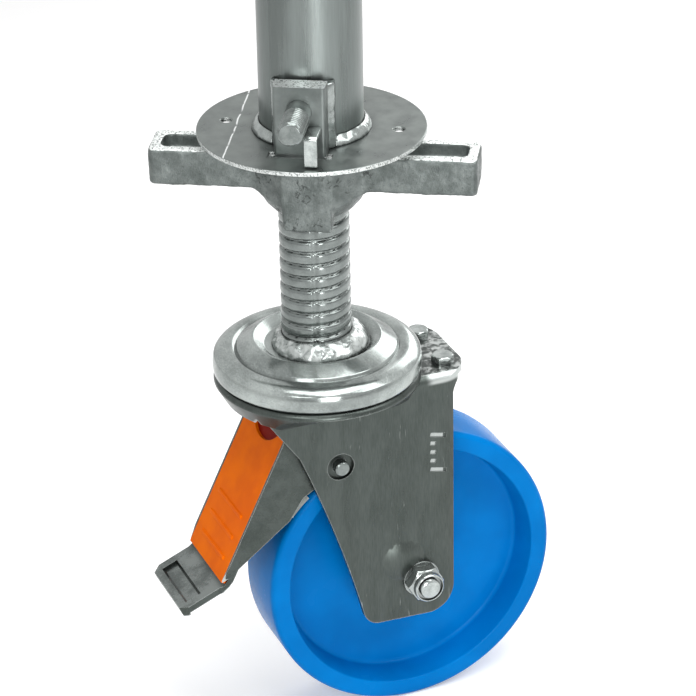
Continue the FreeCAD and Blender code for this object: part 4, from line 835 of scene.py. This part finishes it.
# Studio and camera
def light(name, place, target, size, watts):
    data = bpy.data.lights.new(name, "AREA")
    data.shape = "RECTANGLE"
    data.size, data.size_y = size
    data.energy = watts
    lamp = bpy.data.objects.new(name, data)
    lamp.location = place
    lamp.visible_camera = False
    aim = Vector(target) - Vector(place)
    lamp.rotation_euler = aim.to_track_quat("-Z", "Y").to_euler()
    bpy.context.scene.collection.objects.link(lamp)


def seen_white(tree):
    """1 where a ray from the camera, a reflection or a transmission looks, else 0."""
    path = tree.nodes.new("ShaderNodeLightPath")
    total = path.outputs["Is Camera Ray"]
    for name in ("Is Glossy Ray", "Is Transmission Ray"):
        either = tree.nodes.new("ShaderNodeMath")
        either.operation = "MAXIMUM"
        tree.links.new(total, either.inputs[0])
        tree.links.new(path.outputs[name], either.inputs[1])
        total = either.outputs["Value"]
    return total


WORLD_LEVEL = 0.3
FLOOR_GLOW = 0.3


def make_studio():
    scene = bpy.context.scene
    scene.view_settings.view_transform = "Standard"
    world = bpy.data.worlds.new("studio")
    scene.world = world
    world.use_nodes = True
    tree = world.node_tree
    back = tree.nodes["Background"]
    back.inputs["Color"].default_value = (1.0, 1.0, 1.0, 1.0)
    level = tree.nodes.new("ShaderNodeMapRange")
    level.inputs["To Min"].default_value = WORLD_LEVEL
    tree.links.new(seen_white(tree), level.inputs["Value"])
    tree.links.new(level.outputs["Result"], back.inputs["Strength"])

    floor_z = cad_box[0].z
    half = 9.0
    mesh = bpy.data.meshes.new("floor")
    mesh.from_pydata([(-half, -half, floor_z), (half, -half, floor_z), (half, half, floor_z),
                      (-half, half, floor_z)], [], [(0, 1, 2, 3)])
    floor = bpy.data.objects.new("floor", mesh)
    scene.collection.objects.link(floor)
    paint = Paint("floor_white", roughness=0.9)
    paint.colour(paint.mix(paint.noise(120.0), (0.86, 0.86, 0.86, 1), (0.88, 0.88, 0.88, 1)))
    paint.shader.inputs["Specular IOR Level"].default_value = 0.0
    paint.shader.inputs["Emission Color"].default_value = (1, 1, 1, 1)
    glow = paint.both(seen_white(paint.tree), FLOOR_GLOW)
    paint.put(paint.shader.inputs["Emission Strength"], glow)
    mesh.materials.append(paint.material)

    light("softbox_top", (0.15, -0.3, 1.25), (0, -0.05, -0.2), (1.4, 1.2), 23.0)
    light("softbox_left", (-0.95, -1.15, 0.75), (0, 0, -0.2), (0.6, 0.6), 7.5)
    light("softbox_right", (0.85, -0.8, 0.85), (0, 0, -0.2), (0.7, 0.6), 5.0)
    light("softbox_back", (1.15, 0.9, 0.5), (0, 0, -0.15), (0.9, 0.8), 8.0)
    light("softbox_low", (-0.3, -1.9, -0.05), (0.03, 0, -0.28), (0.6, 0.7), 14.0)


def make_camera():
    picture_width, focal_length = 696.0, 3200.0
    place = Vector((-0.6626, -1.7027, 0.7777))
    forward = Vector((0.332, 0.8265, -0.4547)).normalized()
    right = Vector((0.928, -0.3728, 0.0)).normalized()
    roll = -0.019
    up = right.cross(forward)
    across = right * cos(roll) + up * sin(roll)
    upward = up * cos(roll) - right * sin(roll)
    data = bpy.data.cameras.new("camera")
    data.sensor_width = 36.0
    data.lens = focal_length / picture_width * data.sensor_width
    data.clip_start, data.clip_end = 0.1, 50.0
    camera = bpy.data.objects.new("camera", data)
    rotation = Matrix((across, upward, -forward)).transposed().to_4x4()
    camera.matrix_world = Matrix.Translation(place) @ rotation
    bpy.context.scene.collection.objects.link(camera)
    bpy.context.scene.camera = camera


make_head()
make_wheel()
make_spindle()
make_spindle_bead()
make_fasteners()
remeshed("foot_weld", 0.7, rough_bead, bead_zinc)
remeshed("lug_welds", 0.7, rough_bead, bead_zinc)
remeshed("wing_nut", 1.0, rough_cast, cast_zinc)
softened("fork", 0.9, fork_steel, folded=on_shelf_rim, fold=3.4)
softened("brake_lever", 0.42, lever_steel, plain=(-83, -74))
softened("pedal_pad", 0.45, pad_orange)
softened("collar_disc", 0.6, disc_zinc)
softened("lock_bracket", 1.2, lug_zinc, steps=3)
softened("lock_keeper", 0.4, nut_zinc)
softened("lock_pin", 0.3, pin_zinc)
softened("upright_tube", 0.5, tube_steel)
softened("axle_washers", 0.3, nut_zinc)
softened("lever_pin", 0.3, pin_zinc)

make_studio()
make_camera()
